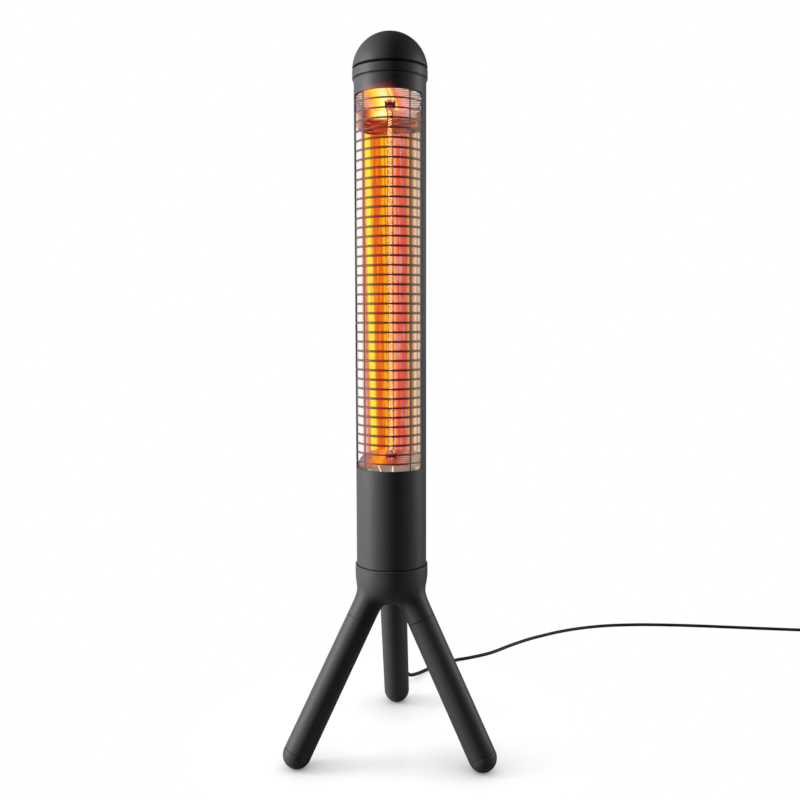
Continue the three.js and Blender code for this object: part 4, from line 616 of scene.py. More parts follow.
# Bands of glow across the folded reflector, from its left front edge (0) to its right one (1)
LEFT_GLOW = [
    (0.0, "f0eaec"), (0.09, "f2ecee"), (0.11, "fcf8f8"), (0.15, "fcf4f4"), (0.166, "f3cccc"),
    (0.178, "e8a8a8"), (0.192, "e07868"), (0.204, "ea8c40"), (0.216, "fcd848"), (0.23, "fff250"),
    (0.264, "ffec4c"), (0.284, "ee7c20"), (0.31, "e25c24"), (0.333, "fa6e22"), (0.356, "f26008"),
    (0.372, "f28c0c"), (0.384, "fecc1e"), (0.402, "ea7404"), (0.417, "ffd21c"), (0.431, "f9b02c"),
    (0.443, "e88424"), (0.452, "c85426"), (0.468, "ecaa5c"), (0.494, "eaa45c"), (0.5, "f4aa78"),
]
RIGHT_GLOW = [
    (0.5, "f4aa78"), (0.506, "f9ae88"), (0.52, "ee744c"), (0.536, "e24c34"), (0.555, "da4e3c"),
    (0.568, "e2624a"), (0.585, "dc5844"), (0.605, "d05a52"), (0.62, "cc5e52"), (0.629, "e08a48"),
    (0.635, "f2aa48"), (0.643, "d88844"), (0.654, "8a5440"), (0.666, "b0786a"), (0.682, "c9a680"),
    (0.7, "e2d4a2"), (0.717, "cfba8c"), (0.733, "a88a78"), (0.75, "e2ccc4"), (0.762, "dac8c2"),
    (0.775, "a89a92"), (0.79, "5e5654"), (1.0, "504a4a"),
]
# What multiplies the sheet's colour in the shade of a wire
SHADE_TINT = [
    (0.0, "a48a90"), (0.16, "a48a90"), (0.24, "8a4a3a"), (0.4, "84280e"), (0.55, "7a2018"),
    (0.64, "5c2c26"), (0.72, "8c7c70"), (0.8, "8c7c70"),
]
# The ceiling plate's painted reflection on the sheet from one height up, and the darker painted reflection
# under it from another
CEILING_IMAGE_START = 1.136
UNDER_CEILING_START = 1.109
IMAGE_BLUR = 0.003
CEILING_IMAGE = [
    (0.0, "948088"), (0.17, "8c6c74"), (0.21, "7c4440"), (0.24, "b84824"), (0.28, "f08c34"),
    (0.32, "ffe05c"), (0.38, "fffac0"), (0.43, "ffec84"), (0.46, "f0b450"), (0.5, "d88060"),
    (0.56, "d8786c"), (0.62, "d49088"), (0.66, "c09088"), (0.7, "b89484"), (0.74, "6c5450"),
    (0.79, "3c3434"), (1.0, "3c3434"),
]
UNDER_CEILING = [
    (0.0, "d8c4c8"), (0.16, "a87880"), (0.2, "784c54"), (0.235, "8c241a"), (0.27, "941a12"),
    (0.32, "a02818"), (0.36, "b03c1c"), (0.41, "b84420"), (0.46, "a8381c"), (0.5, "94382c"),
    (0.55, "884034"), (0.6, "905850"), (0.65, "7c4c48"), (0.69, "705050"), (0.72, "94786c"),
    (0.76, "74585a"), (0.79, "4c4444"), (1.0, "4c4444"),
]


def wire_shade(net, height):
    """The shade of each guard wire on the sheet behind it: 1 on lines that lie right behind a wire as the
    photograph shows it, and 0 between them. The lines are fixed on the sheet: each point's height is
    carried to the guard along the straight line to the photograph's point of view, and compared with the
    wires' heights there."""
    seen = net.split(tower_place(net, turn=-CAMERA_TURN))
    half_chord = net.minus(GUARD_RADIUS ** 2, net.times(seen["X"], seen["X"]))
    behind = net.plus(seen["Y"], net.math("SQRT", net.math("MAXIMUM", half_chord, 0.0)))
    share = net.math("DIVIDE", behind, net.plus(seen["Y"], CAMERA_DISTANCE))
    drop = net.times(net.minus(height, CAMERA_HEIGHT), share)
    at_guard = net.minus(height, drop)
    steps = net.math("DIVIDE", net.minus(WINDOW_TOP - WIRE_MARGIN, at_guard), WIRE_PITCH)
    off = net.math("ABSOLUTE", net.minus(net.math("FRACT", net.plus(steps, 0.5)), 0.5))
    return net.range(off, 0.11, 0.17, 1, 0)


def stretch(net, value, start, end):
    """1 between two borders and 0 outside; each border is a slope from its first number to its second."""
    return net.times(net.range(value, *start), net.range(value, *end, 1, 0))


def spread(net, value, stops, low, high):
    """A ramp over a part of a value, with stops that are given on the whole value."""
    placed = [((place - low) / (high - low), code) for place, code in stops]
    return net.ramp(net.range(value, low, high), placed)


def polish(net, bsdf, glow, roughness, normal):
    """Gives a polished sheet its painted glow, which tints the metal too."""
    tinted = net.mix(0.85, colour("6c6864"), glow, "MULTIPLY")
    net.fill(bsdf, {"Base Color": tinted, "Emission Color": glow, "Emission Strength": 0.95,
                    "Roughness": roughness, "Normal": normal, "Metallic": 1.0})


def make_mirror_sheet():
    """Polished sheet lit by the lamp, all in painted light: bands of painted glow by the angle round the
    tower, leaning a little on the left and broken into upright streaks; the painted shade of the guard's
    wires; and at the top the ceiling plate's painted reflection, with darker painted reflection under it."""
    made, net, bsdf = shader("glowing_mirror_sheet")
    axes = net.split(tower_place(net))
    height = axes["Z"]
    turn = angle_round_tower(net, axes)
    unwound = net.plus(turn, net.math("LESS_THAN", turn, 0.0))
    streaks = net.noise(tower_place(net, (1, 1, 0.03)), 330, 3, 0.6)
    dents = net.noise(tower_place(net, (0.25, 0.25, 1)), 60, 3, 0.5)
    blotches = net.noise(tower_place(net, (1, 1, 0.3)), 60, 2, 0.5)
    straight = net.range(unwound, 0.8, 0.2)
    leaning_part = stretch(net, straight, (0.17, 0.24), (0.37, 0.46))
    lean = net.times(net.range(height, 1.13, 0.56), leaning_part)
    sway = net.times(net.minus(dents, 0.5), 0.01)
    leaning = net.minus(straight, net.times(lean, 0.058))
    across = net.plus(leaning, sway)

    right = net.math("GREATER_THAN", across, 0.5)
    bands = net.mix(right, spread(net, across, LEFT_GLOW, 0, 0.5), spread(net, across, RIGHT_GLOW, 0.5, 1))
    # Where the painted glow gets streaks: the red band, the warm bands and the dim right side
    red_part = stretch(net, across, (0.51, 0.53), (0.62, 0.628))
    warm_part = stretch(net, across, (0.235, 0.25), (0.44, 0.452))
    dim_right_streak_part = net.range(across, 0.66, 0.68)
    # Each streak of the painted glow: where it is, the noise it follows, the noise where it starts and is
    # full, share and colour
    glow_streaks = [
        (red_part, net.plus(streaks, blotches), 0.98, 1.16, 0.75, "d89a90"),
        (warm_part, streaks, 0.52, 0.66, 0.55, "ffd21e"),
        (warm_part, streaks, 0.47, 0.36, 0.6, "f05a08"),
        (dim_right_streak_part, streaks, 0.44, 0.36, 0.6, "8c7458"),
    ]
    for part, noise, low, high, share, code in glow_streaks:
        amount = net.times(part, net.range(noise, low, high, 0, share))
        bands = net.mix(amount, bands, colour(code))
    shaded = net.mix(1.0, bands, net.ramp(across, SHADE_TINT), "MULTIPLY")
    bands = net.mix(net.times(wire_shade(net, height), 0.75), bands, shaded)

    # Painted reflections at the top: the ceiling plate's image, the darker image under it, and a hatch for
    # the guard's wires seen in it
    ripples = net.noise(tower_place(net, (0.1, 0.1, 1)), 420, 2, 0.5)
    under = spread(net, across, UNDER_CEILING, 0, 1)
    under = net.mix(net.range(ripples, 0.55, 0.67, 0, 0.7), under, colour("ec7c3c"))
    under = net.mix(net.range(ripples, 0.47, 0.38, 0, 0.5), under, colour("5c100c"))
    hatch = net.times(net.range(ripples, 0.53, 0.58, 0, 0.7), net.range(across, 0.52, 0.58))
    image = net.mix(hatch, spread(net, across, CEILING_IMAGE, 0, 1), colour("ffece4"))
    swayed_height = net.plus(height, sway)
    for start, picture in ((UNDER_CEILING_START, under), (CEILING_IMAGE_START, image)):
        bands = net.mix(net.range(swayed_height, start, start + IMAGE_BLUR), bands, picture)

    polish(net, bsdf, bands, net.range(streaks, 0.3, 0.7, 0.12, 0.22), net.bump(dents, 0.15, 0.001))
    return made


MIRROR_SHEET = make_mirror_sheet()

# Painted reflections on the end plates: the pitch of the level rungs, and the two white highlight streaks
RUNG_PITCH = 0.0095
FRONT_STREAKS = ((-0.0175, -0.3), (0.0075, -0.15))  # where each crosses the front, and its slant


def make_end_mirror(name, plate, bands, front, front_code, folds, rungs):
    """A polished end plate lit by the lamp, all in painted light: bands of glow across it that fan out from
    the lamp, faint level rungs of painted reflection at the sides, and from its front line on a plain strip
    with two white streaks of painted highlight."""
    made, net, bsdf = shader(name)
    axes = net.split(tower_place(net))
    turn = angle_round_tower(net, axes)
    fan = net.add("ShaderNodeCombineXYZ")
    net.link(net.times(turn, folds), fan.inputs[0])
    rays = net.noise(fan.outputs[0], 3.0, 2, 0.6)
    blur = net.noise(tower_place(net, (1, 0.3, 1)), 160, 3)
    sway = net.times(net.minus(rays, 0.5), 0.05)
    across = net.plus(net.range(axes["X"], -0.055, 0.055), sway)
    glow = net.ramp(across, bands)
    glow = net.mix(net.range(blur, 0.45, 0.7, 0, 0.5), glow, colour("fff2c8"), "SOFT_LIGHT")
    ripple = net.math("SINE", net.times(axes["Y"], 2 * pi / RUNG_PITCH))
    at_sides = net.plus(net.range(across, 0.24, 0.18), net.range(across, 0.62, 0.68), clamp=True)
    rung = net.times(net.range(ripple, 0.2, 0.7, 0, rungs), at_sides)
    glow = net.mix(rung, glow, colour("fff4ec"))
    strip = net.mix(net.range(across, 0.1, 0.5), colour("756460"), colour(front_code))
    ahead = net.minus(axes["Y"], front)
    for place, slant in FRONT_STREAKS:
        beside = net.minus(axes["X"], place)
        line = net.math("ABSOLUTE", net.minus(beside, net.times(ahead, slant)))
        strip = net.mix(net.range(line, 0.0008, 0.0016, 0.85, 0), strip, colour("fff6ec"))
    glow = net.mix(net.range(ahead, -0.003, 0.002, 1, 0), glow, strip)
    plane = net.plus(net.times(axes["Y"], tan(plate[1])), plate[0] - 0.001)
    glow = net.mix(net.math("LESS_THAN", axes["Z"], plane), glow, strip)
    polish(net, bsdf, glow, 0.16, net.bump(rays, 0.4, 0.0015))
    return made


CEILING_MIRROR = make_end_mirror("glowing_ceiling_mirror", TOP_PLATE, [
    (0.0, "6a5860"), (0.03, "8c7078"), (0.06, "c87450"), (0.14, "e88040"), (0.2, "f89a28"),
    (0.27, "ffd034"), (0.36, "fff080"), (0.46, "fff6b8"), (0.5, "ffe66c"), (0.525, "f0a82c"),
    (0.55, "fff0a8"), (0.58, "ffb448"), (0.62, "ee7648"), (0.7, "de7c6c"), (0.8, "c87c6c"),
    (0.86, "987c74"), (0.93, "a08c84"), (1.0, "5c5050"),
], -0.08, "c85028", 9.0, 0.5)
FLOOR_MIRROR = make_end_mirror("glowing_floor_mirror", BOTTOM_PLATE, [
    (0.0, "5c444c"), (0.08, "904a48"), (0.14, "b04430"), (0.2, "d05c14"), (0.28, "f0801c"),
    (0.34, "f49a34"), (0.4, "e07010"), (0.47, "cc5010"), (0.54, "a84030"), (0.64, "944c46"),
    (0.72, "a8645a"), (0.8, "8c4c48"), (0.88, "9c8470"), (0.94, "887870"), (1.0, "5c5250"),
], -0.034, "867e74", 7.0, 0.2)


def make_quartz():
    """Clear quartz with a warm tint and a slightly frosted film."""
    made, net, bsdf = shader("quartz_glass")
    film = net.noise(net.place(scale=(1, 1, 0.1)), 500, 3)
    net.fill(bsdf, {"Base Color": net.mix(film, colour("fff2e4"), colour("ffe0bc")), "IOR": 1.46,
                    "Roughness": net.range(film, 0.35, 0.75, 0.03, 0.16), "Transmission Weight": 1.0})
    return made


QUARTZ_GLASS = make_quartz()


def make_filament_glow():
    """Glowing heating wire: cream where hottest, orange where noise along the lamp cools it."""
    made, net, bsdf = shader("glowing_filament")
    heat = net.noise(net.place(), 120, 2)
    glow = net.ramp(heat, [(0.3, "ffc46a"), (0.5, "ffe09a"), (0.7, "fff2c4")])
    net.fill(bsdf, {"Base Color": colour("ffb060"), "Emission Color": glow, "Emission Strength": 1.6})
    return made


FILAMENT_GLOW = make_filament_glow()

# ---------------------------------------------------------------- cord, coil and plug

# The cord's points on its way down from the gland behind the rear leg, and then over the floor
CORD_FALL = [
    (0, 0.175, 0.078), (0.002, 0.192, 0.076), (0.006, 0.208, 0.064), (0.010, 0.219, 0.046),
    (0.015, 0.226, 0.029), (0.023, 0.236, 0.0155), (0.040, 0.261, 0.008), (0.061, 0.292, 0.005),
]
CORD_ON_FLOOR = [
    (0.091, 0.325), (0.124, 0.350), (0.158, 0.367), (0.206, 0.397), (0.257, 0.447), (0.309, 0.493),
    (0.349, 0.521), (0.383, 0.543), (0.438, 0.570), (0.507, 0.592), (0.587, 0.603), (0.667, 0.604),
    (0.747, 0.600), (0.828, 0.593), (0.908, 0.586),
]
GLAND_SHOULDER = LEG_RADIUS + FIT_GAP
GLAND_FRONT = GLAND_SHOULDER + 0.003
GLAND_TIP = GLAND_FRONT + 0.0136
GLAND_THREAD_END = 0.014
GLAND_BORE = CORD_RADIUS + FIT_GAP
COIL_FORWARD = np.array([cos(COIL_HEADING), sin(COIL_HEADING), 0])
COIL_START = np.array([*COIL_ENTRY, CORD_FLOOR_HEIGHT])


def leg_point(place, out):
    """A point of the rear leg: along its axis from the legs' meeting point, and out from the axis."""
    return on_leg(np.array([[0, out, -place]]), LEG_TURNS["rear"])[0]


def smooth_route(points, steps):
    """A curve through points: each stretch is a cubic whose end slopes come from the neighbouring points,
    weighted by the square roots of the distances between them."""
    knots = np.asarray(points, float)
    knots = np.vstack([2 * knots[0] - knots[1], knots, 2 * knots[-1] - knots[-2]])
    spans = np.sqrt(np.linalg.norm(np.diff(knots, axis=0), axis=1))[:, None]
    before, own, after = spans[:-2], spans[1:-1], spans[2:]
    p0, p1, p2, p3 = knots[:-3], knots[1:-2], knots[2:-1], knots[3:]
    slope1 = ((p1 - p0) / before - (p2 - p0) / (before + own) + (p2 - p1) / own) * own
    slope2 = ((p2 - p1) / own - (p3 - p1) / (own + after) + (p3 - p2) / after) * own
    t = (np.arange(steps) / steps)[None, :, None]
    first, last = p1[:, None], p2[:, None]
    leave, reach = slope1[:, None], slope2[:, None]
    curve = (first + leave * t + (3 * (last - first) - 2 * leave - reach) * t ** 2
             + (2 * (first - last) + leave + reach) * t ** 3)
    return np.vstack([curve.reshape(-1, 3), knots[-2]])


def cord_path():
    """The free cord's middle line, from the gland's tip to the coil."""
    return smooth_route([
        leg_point(GLAND_PLACE, GLAND_TIP + FIT_GAP),
        leg_point(GLAND_PLACE, GLAND_TIP + FIT_GAP + 2 * CORD_RADIUS),
        *CORD_FALL,
        *[(x, y, CORD_FLOOR_HEIGHT) for x, y in CORD_ON_FLOOR],
        COIL_START - COIL_FORWARD * (2 * CORD_RADIUS + FIT_GAP),
        COIL_START - COIL_FORWARD * FIT_GAP,
    ], 10)


def smooth_step(value, low, high):
    """A smooth rise from 0 to 1 between two values: three squares less two cubes of the share."""
    share = np.clip((value - low) / (high - low), 0, 1)
    return share * share * (3 - 2 * share)


def coil_path():
    """The coil's middle line: in and out again in two layers, then a tail that rises to the plug."""
    right = np.array([COIL_FORWARD[1], -COIL_FORWARD[0], 0])
    middle = COIL_START + COIL_FORWARD * 2 * CORD_RADIUS + right * COIL_OUTER_RADIUS
    turns = np.arange(COIL_TURNS * COIL_STEPS + 1)[:, None] / COIL_STEPS
    half = COIL_TURNS / 2
    radius = COIL_OUTER_RADIUS - COIL_SPACING * (half - np.abs(turns - half))
    climb = COIL_SPACING * smooth_step(turns, half - 0.25, half + 0.25)
    angle = 2 * pi * turns
    loops = (middle - right * radius * np.cos(angle) + COIL_FORWARD * radius * np.sin(angle)
             + np.array(UPRIGHT) * climb)
    share = np.array([[0.3], [0.6], [0.82], [1.0]])
    tail = loops[-1] + COIL_FORWARD * share * COIL_TAIL
    tail[:, 2] += (PLUG_RADIUS + FIT_GAP / 3 - loops[-1][2]) * smooth_step(share, 0, 0.8)[:, 0]
    return smooth_route(np.vstack([COIL_START, COIL_START + COIL_FORWARD * CORD_RADIUS, loops, tail]), 3)


route, coil = cord_path(), coil_path()


def at_plug(points):
    """Points about the upright axis, laid along the cord's end."""
    laid = np.stack([points[:, 2], points[:, 1], -points[:, 0]], 1)
    return turn_z(laid, COIL_HEADING) + coil[-1]


def at_gland(points):
    """Points about the upright axis, put across the rear leg at the gland's place."""
    laid = np.stack([points[:, 0], points[:, 2], -points[:, 1]], 1)
    return on_leg(laid - (0, 0, GLAND_PLACE), LEG_TURNS["rear"])


cord_line = np.vstack([route, coil[1:]])
mains_cord = piece("mains_cord", [pipe(cord_line, CORD_RADIUS, 22, UPRIGHT)], CORD_RUBBER,
                   ["cord_run", "cord_coil"])

PLUG_FRONT = PLUG_BACK + PLUG_LENGTH
plug_profile = rounded([
    (0, FIT_GAP), (0.0065, FIT_GAP), (0.0085, PLUG_BACK), (0.016, PLUG_BACK + 0.002),
    (PLUG_RADIUS, PLUG_BACK + 0.005), (PLUG_RADIUS, PLUG_FRONT - 0.0015), (PLUG_RADIUS - 0.0015, PLUG_FRONT),
    (0, PLUG_FRONT),
], 0.0018)
plug = piece("plug_moulding", [moved(turned(plug_profile, 64), at_plug)], CORD_RUBBER,
             ["plug_body"])
PIN_TIP = PLUG_FRONT + PIN_LENGTH
pin_profile = rounded([
    (0, PLUG_FRONT - PIN_ROOT), (PIN_RADIUS, PLUG_FRONT - PIN_ROOT), (PIN_RADIUS, PIN_TIP - PIN_RADIUS / 2),
    (PIN_RADIUS / 2, PIN_TIP), (0, PIN_TIP),
], 0.0008)
for name, side in (("left", 1), ("right", -1)):
    place = lambda points, side=side: at_plug(points + (0, side * PIN_OFFSET, 0))
    piece(f"plug_contact_{name}", [moved(turned(pin_profile, 24), place)], BRASS,
                      [f"plug_pin_{name}"])

cord_exit = leg_point(GLAND_PLACE, GLAND_TIP + FIT_GAP)

gland_profile = rounded([
    (GLAND_BORE, GLAND_THREAD_END), (0.008, GLAND_THREAD_END), (0.008, GLAND_SHOULDER),
    (0.0115, GLAND_SHOULDER), (0.0115, GLAND_FRONT), (0.008, GLAND_FRONT), (0.0054, GLAND_TIP),
    (GLAND_BORE, GLAND_TIP), (GLAND_BORE, GLAND_THREAD_END),
], 0.0006)
piece("cord_strain_relief", [moved(turned(gland_profile, 48), at_gland)], GASKET_RUBBER,
      ["cord_gland"])

# ---------------------------------------------------------------- tripod

BLEND = 0.006  # how softly the hub's forms run into each other
LEG_DIRECTIONS = np.array([
    [-sin(turn) * sin(LEG_TILT), cos(turn) * sin(LEG_TILT), -cos(LEG_TILT)] for turn in LEG_TURNS.values()])


def hub_distance(points):
    """About how far points lie outside the hub: a soft minimum, the logarithm of summed exponentials, of
    the distances to the bell, whose outline is a superellipse, and to the three round stubs."""
    offset = points - (0, 0, HUB_TOP - COLLAR_DROP)
    radius = np.hypot(offset[..., 0], offset[..., 1]) / COLLAR_RADIUS
    drop = np.maximum(-offset[..., 2], 0) / BELL_HEIGHT
    bell = ((radius ** 2.4 + drop ** 2.4) ** (1 / 2.4) - 1) * COLLAR_RADIUS
    from_apex = points[..., None, :] - (0, 0, APEX_HEIGHT)
    along = np.sum(from_apex * LEG_DIRECTIONS, -1)[..., None]
    stubs = np.linalg.norm(from_apex - along * LEG_DIRECTIONS, axis=-1) - LEG_RADIUS
    forms = np.concatenate([bell[..., None], stubs], -1)
    return -BLEND * np.log(np.sum(np.exp(-forms / BLEND), -1))


def onto_hub(middle, towards, reach=0.14):
    """Where rays from inside the hub leave it: the distance is halved in on between inside and outside."""
    way = towards - middle
    way /= np.linalg.norm(way, axis=-1, keepdims=True)
    low, high = np.zeros(way.shape[:-1] + (1,)), np.full(way.shape[:-1] + (1,), reach)
    for _ in range(34):
        half = (low + high) / 2
        inside = hub_distance(middle + way * half)[..., None] < 0
        low, high = np.where(inside, half, low), np.where(inside, high, half)
    return middle + way * (low + high) / 2


def hub_third(turn):
    """A third of the hub's skin: rows from a stub's end circle to the third's outline, which is an arc of
    the collar and two lines down to the middle below; each point is drawn onto the hub's surface."""
    arc_steps, seam_steps, rows = 16, 26, 44
    lip = HUB_TOP - LIP_HEIGHT
    heart = np.array([0, 0, HUB_HEART])
    arc_angle = np.linspace(0, pi / 3, arc_steps + 1)
    arc = np.stack([COLLAR_RADIUS * np.sin(arc_angle), COLLAR_RADIUS * np.cos(arc_angle),
                    np.full(arc_steps + 1, lip)], 1)
    slope = np.linspace(atan2(lip - heart[2], COLLAR_RADIUS), -pi / 2, seam_steps + 1)[1:]
    seam_way = np.stack([np.cos(slope) * sin(pi / 3), np.cos(slope) * cos(pi / 3), np.sin(slope)], 1)
    seam = onto_hub(np.broadcast_to(heart, seam_way.shape), heart + seam_way)
    half = np.vstack([arc, seam])
    outline = np.vstack([half, (half * (-1, 1, 1))[-2:0:-1]])
    columns = len(outline)
    round_leg = np.concatenate([
        np.linspace(0, pi * 0.42, arc_steps + 1), np.linspace(pi * 0.42, pi, seam_steps + 1)[1:]])
    round_leg = np.concatenate([round_leg, -round_leg[-2:0:-1]])
    circle = np.stack([LEG_RADIUS * np.sin(round_leg), LEG_RADIUS * np.cos(round_leg),
                       np.full(columns, -STUB_LENGTH)], 1)
    circle = turn_x(circle, LEG_TILT) + (0, 0, APEX_HEIGHT)
    share = np.linspace(0, 1, rows + 1)[:, None, None]
    eased = share ** 1.15
    middle_start = LEG_DIRECTIONS[0] * STUB_LENGTH + (0, 0, APEX_HEIGHT)
    middle = middle_start + (heart - middle_start) * share
    towards = circle + (outline - circle) * eased
    middle = np.broadcast_to(middle, towards.shape)
    skin = onto_hub(middle, towards)
    skin[0], skin[-1] = circle, outline
    return turn_z(skin.reshape(-1, 3), turn).reshape(skin.shape) + (0, TOWER_Y, 0), False, True


def to_tripod(points):
    """Points about the tripod's middle, put in its place."""
    return points + (0, TOWER_Y, 0)


collar_edge = rounded([
    (COLLAR_RADIUS, HUB_TOP - LIP_HEIGHT), (COLLAR_RADIUS, HUB_TOP), (NECK_RADIUS - 0.002, HUB_TOP),
], 0.0011, 4)[4:]
collar_edge[0] = (COLLAR_RADIUS, HUB_TOP - LIP_HEIGHT)
hub = piece("hub_body", [
    *[hub_third(turn) for turn in LEG_TURNS.values()],
    moved(turned(collar_edge, 96), to_tripod),
], POWDER_COAT, ["hub_casting"], sharp=50, shell_kind="open")
wall = hub.modifiers.new("wall", "SOLIDIFY")
wall.thickness, wall.offset = HUB_WALL, -1


neck = ring_profile(NECK_RADIUS - NECK_WALL, NECK_RADIUS, HUB_TOP - COLLAR_DROP, NECK_TOP, 0.0006)
piece("hub_neck", [moved(turned(neck, 72), to_tripod)], POWDER_COAT)
seal = ring_profile(NECK_RADIUS + FIT_GAP, SEAL_RADIUS, HUB_TOP, TUBE_BOTTOM, 0.0003)
piece("hub_seal_ring", [moved(turned(seal), to_tripod)], GASKET_RUBBER, ["hub_seal"])


def floor_flat(points):
    """The ball's lowest part worn flat: heights below the floor become the floor's."""
    points = points.copy()
    points[:, 2] = np.maximum(points[:, 2], 0)
    return points


def socket_screw(radius, length, head_radius, head_height):
    """A screw about the upright axis, its head on z = 0, with a six-sided socket in the head."""
    outline = rounded([
        (0, -length), (radius, -length), (radius, 0), (head_radius, 0), (head_radius, head_height * 0.55),
        (head_radius * 0.72, head_height), (head_radius * 0.5, head_height)], 0.0004)
    points, _, wrap = turned(outline, 36)
    angle = np.arange(36) * (pi / 18)
    apothem = 0.42 * head_radius / np.cos(angle % (pi / 3) - pi / 6)
    depth = head_height * np.array([1.0, 0.35, 0.35])
    width = np.array([1.0, 1.0, 0.0])
    socket = around(width[:, None] * apothem, angle, depth[:, None])
    return np.concatenate([points, socket]), False, wrap


for side, turn in LEG_TURNS.items():
    place = lambda points, turn=turn: on_leg(points, turn)
    spigot_start, spigot_end = -STUB_LENGTH + SPIGOT_OVERLAP, -STUB_LENGTH - SPIGOT_LENGTH
    spigot = ring_profile(SPIGOT_RADIUS - SPIGOT_WALL, SPIGOT_RADIUS, spigot_start, spigot_end, 0.0005)
    piece(f"hub_spigot_{side}", [moved(turned(spigot, 64), place)], POWDER_COAT)
    leg_top, leg_bottom = -STUB_LENGTH - JOINT_LINE, -FOOT_JOINT_PLACE + JOINT_LINE
    leg = tube_profile(LEG_RADIUS, LEG_WALL, leg_top, leg_bottom, 0.0004)
    piece(f"tripod_{side}_leg", [moved(turned(leg), place)], POWDER_COAT, [f"leg_{side}"])
    ball_angle = np.linspace(0, pi / 2, 26)
    foot_joint, plug_top = -FOOT_JOINT_PLACE, -FOOT_JOINT_PLACE + FOOT_PLUG_LENGTH
    foot = np.vstack([
        rounded([
            (0, plug_top), (SPIGOT_RADIUS, plug_top), (SPIGOT_RADIUS, foot_joint), (LEG_RADIUS, foot_joint),
            (LEG_RADIUS, -FOOT_BALL_PLACE)], 0.0004)[:-2],
        np.stack([LEG_RADIUS * np.cos(ball_angle), -FOOT_BALL_PLACE - LEG_RADIUS * np.sin(ball_angle)], 1),
    ])
    foot[-1, 0] = 0
    worn_place = lambda points, place=place: floor_flat(place(points))
    piece(f"rubber_{side}_foot", [moved(turned(foot), worn_place)], FOOT_RUBBER,
          [f"foot_{side}"])
    grub = socket_screw(0.0025, 0.0055, 0.0024, 0.0014)
    grub_place = lambda points, place=place: place(
        np.stack([points[:, 0], -(points[:, 2] + GRUB_OUT), points[:, 1] - GRUB_PLACE], 1))
    piece(f"grub_screw_{side}", [moved(grub, grub_place)], SCREW_STEEL, [f"leg_screw_{side}"])

# ---------------------------------------------------------------- tower tube


def loop_of(half_width, low, high, corner):
    """A rectangle's outline with quarter-circle corners, clockwise from its upper left: the second half
    is the first one turned by half a turn."""
    along, up, bend = 64, 24, 8
    x, turn = half_width - corner, np.linspace(0, pi / 2, bend + 1)[1:-1]
    across = np.linspace(-x, x, along + 1)
    rise = np.linspace(high - corner, low + corner, up + 1)
    half = np.vstack([
        np.stack([across, np.full(along + 1, high)], 1),
        np.stack([x + corner * np.sin(turn), high - corner + corner * np.cos(turn)], 1),
        np.stack([np.full(up + 1, half_width), rise], 1),
        np.stack([x + corner * np.cos(turn), low + corner - corner * np.sin(turn)], 1),
    ])
    return np.vstack([half, (0, low + high) - half])


def square_corners(loop, half_width, low, high, corner):
    """The same outline with its corner arcs pushed out to the rectangle's square corners."""
    centre = np.array([0, (low + high) / 2])
    half = np.array([half_width, (high - low) / 2])
    offset = loop - centre
    in_corner = np.all(np.abs(offset) > half - corner, axis=1)
    past = (np.abs(offset) - (half - corner)) / corner
    scale = 1 / np.maximum(np.max(past, axis=1, keepdims=True), 1e-9)
    pushed = np.sign(offset) * (half - corner + np.clip(past * scale, 0, 1) * corner)
    return centre + np.where(in_corner[:, None], pushed, offset)


def tube_skin():
    """The tube's outer skin: a band between the window's outline and the tube's border, laid out flat as
    distance round and height, then wrapped round the axis; and the flared rim above it."""
    flat_top = TUBE_TOP - RIM_HEIGHT
    window = loop_of(TUBE_RADIUS * WINDOW_HALF_ANGLE, WINDOW_BOTTOM, WINDOW_TOP, WINDOW_CORNER)
    rectangle = (TUBE_RADIUS * pi, TUBE_BOTTOM, flat_top, 0.006)
    border = square_corners(loop_of(*rectangle), *rectangle)
    share = np.linspace(0, 1, 25)[:, None, None]
    band = window + (border - window) * share
    angle, height = band[..., 0] / TUBE_RADIUS, band[..., 1]
    skin = around(TUBE_RADIUS, angle, height)
    top = border[np.isclose(border[:, 1], flat_top)]
    top = top[np.argsort(top[:, 0])]
    lift = np.linspace(0, 1, 7)
    radius = TUBE_RADIUS + (RIM_RADIUS - TUBE_RADIUS) * lift ** 1.25
    rim = around(radius[:, None], top[:, 0] / TUBE_RADIUS, (flat_top + RIM_HEIGHT * lift)[:, None])
    return [(skin, False, True), (rim, False, False)]


tube = piece("tower_tube", [moved(grid, in_tower) for grid in tube_skin()], COAT_WITH_PAINTED_GLOW,
             ["housing_tube"], shell_kind="open")
wall = tube.modifiers.new("wall", "SOLIDIFY")
wall.thickness, wall.offset, wall.use_even_offset = TUBE_WALL, -1, True
edge = tube.modifiers.new("eased_edges", "BEVEL")
edge.width, edge.segments, edge.limit_method, edge.angle_limit = 0.0005, 2, "ANGLE", radians(60)
edge.harden_normals = True

# ---------------------------------------------------------------- guard


def guard_wire(height):
    """A level arc of round wire in front of the window, from edge to edge."""
    end = WINDOW_HALF_ANGLE - FIT_GAP / GUARD_RADIUS
    path = around(GUARD_RADIUS, np.linspace(-end, end, 40), height)
    return moved(pipe(path, WIRE_RADIUS, 10, UPRIGHT), in_tower)


def guard_upright(side):
    """A straight upright wire behind the arcs, running on behind the tube's wall at both ends."""
    height = np.linspace(WINDOW_BOTTOM - UPRIGHT_OVERRUN, WINDOW_TOP + UPRIGHT_OVERRUN, 60)
    path = around(UPRIGHT_RADIUS, side * UPRIGHT_ANGLE, height)
    return moved(pipe(path, WIRE_RADIUS, 12, (1, 0, 0)), in_tower)


piece("wire_guard", [
    *[guard_wire(WINDOW_TOP - WIRE_MARGIN - row * WIRE_PITCH) for row in range(WIRE_COUNT)],
    guard_upright(-1), guard_upright(1),
], GUARD_COAT, ["guard_grille"])

# ---------------------------------------------------------------- cap


def dome_arc(radius, angle):
    """Profile points on a circle about the dome's centre; the one at the top lies on the axis."""
    arc = np.stack([radius * np.cos(angle), DOME_CENTRE + radius * np.sin(angle)], 1)
    arc[np.isclose(angle, pi / 2), 0] = 0
    return arc


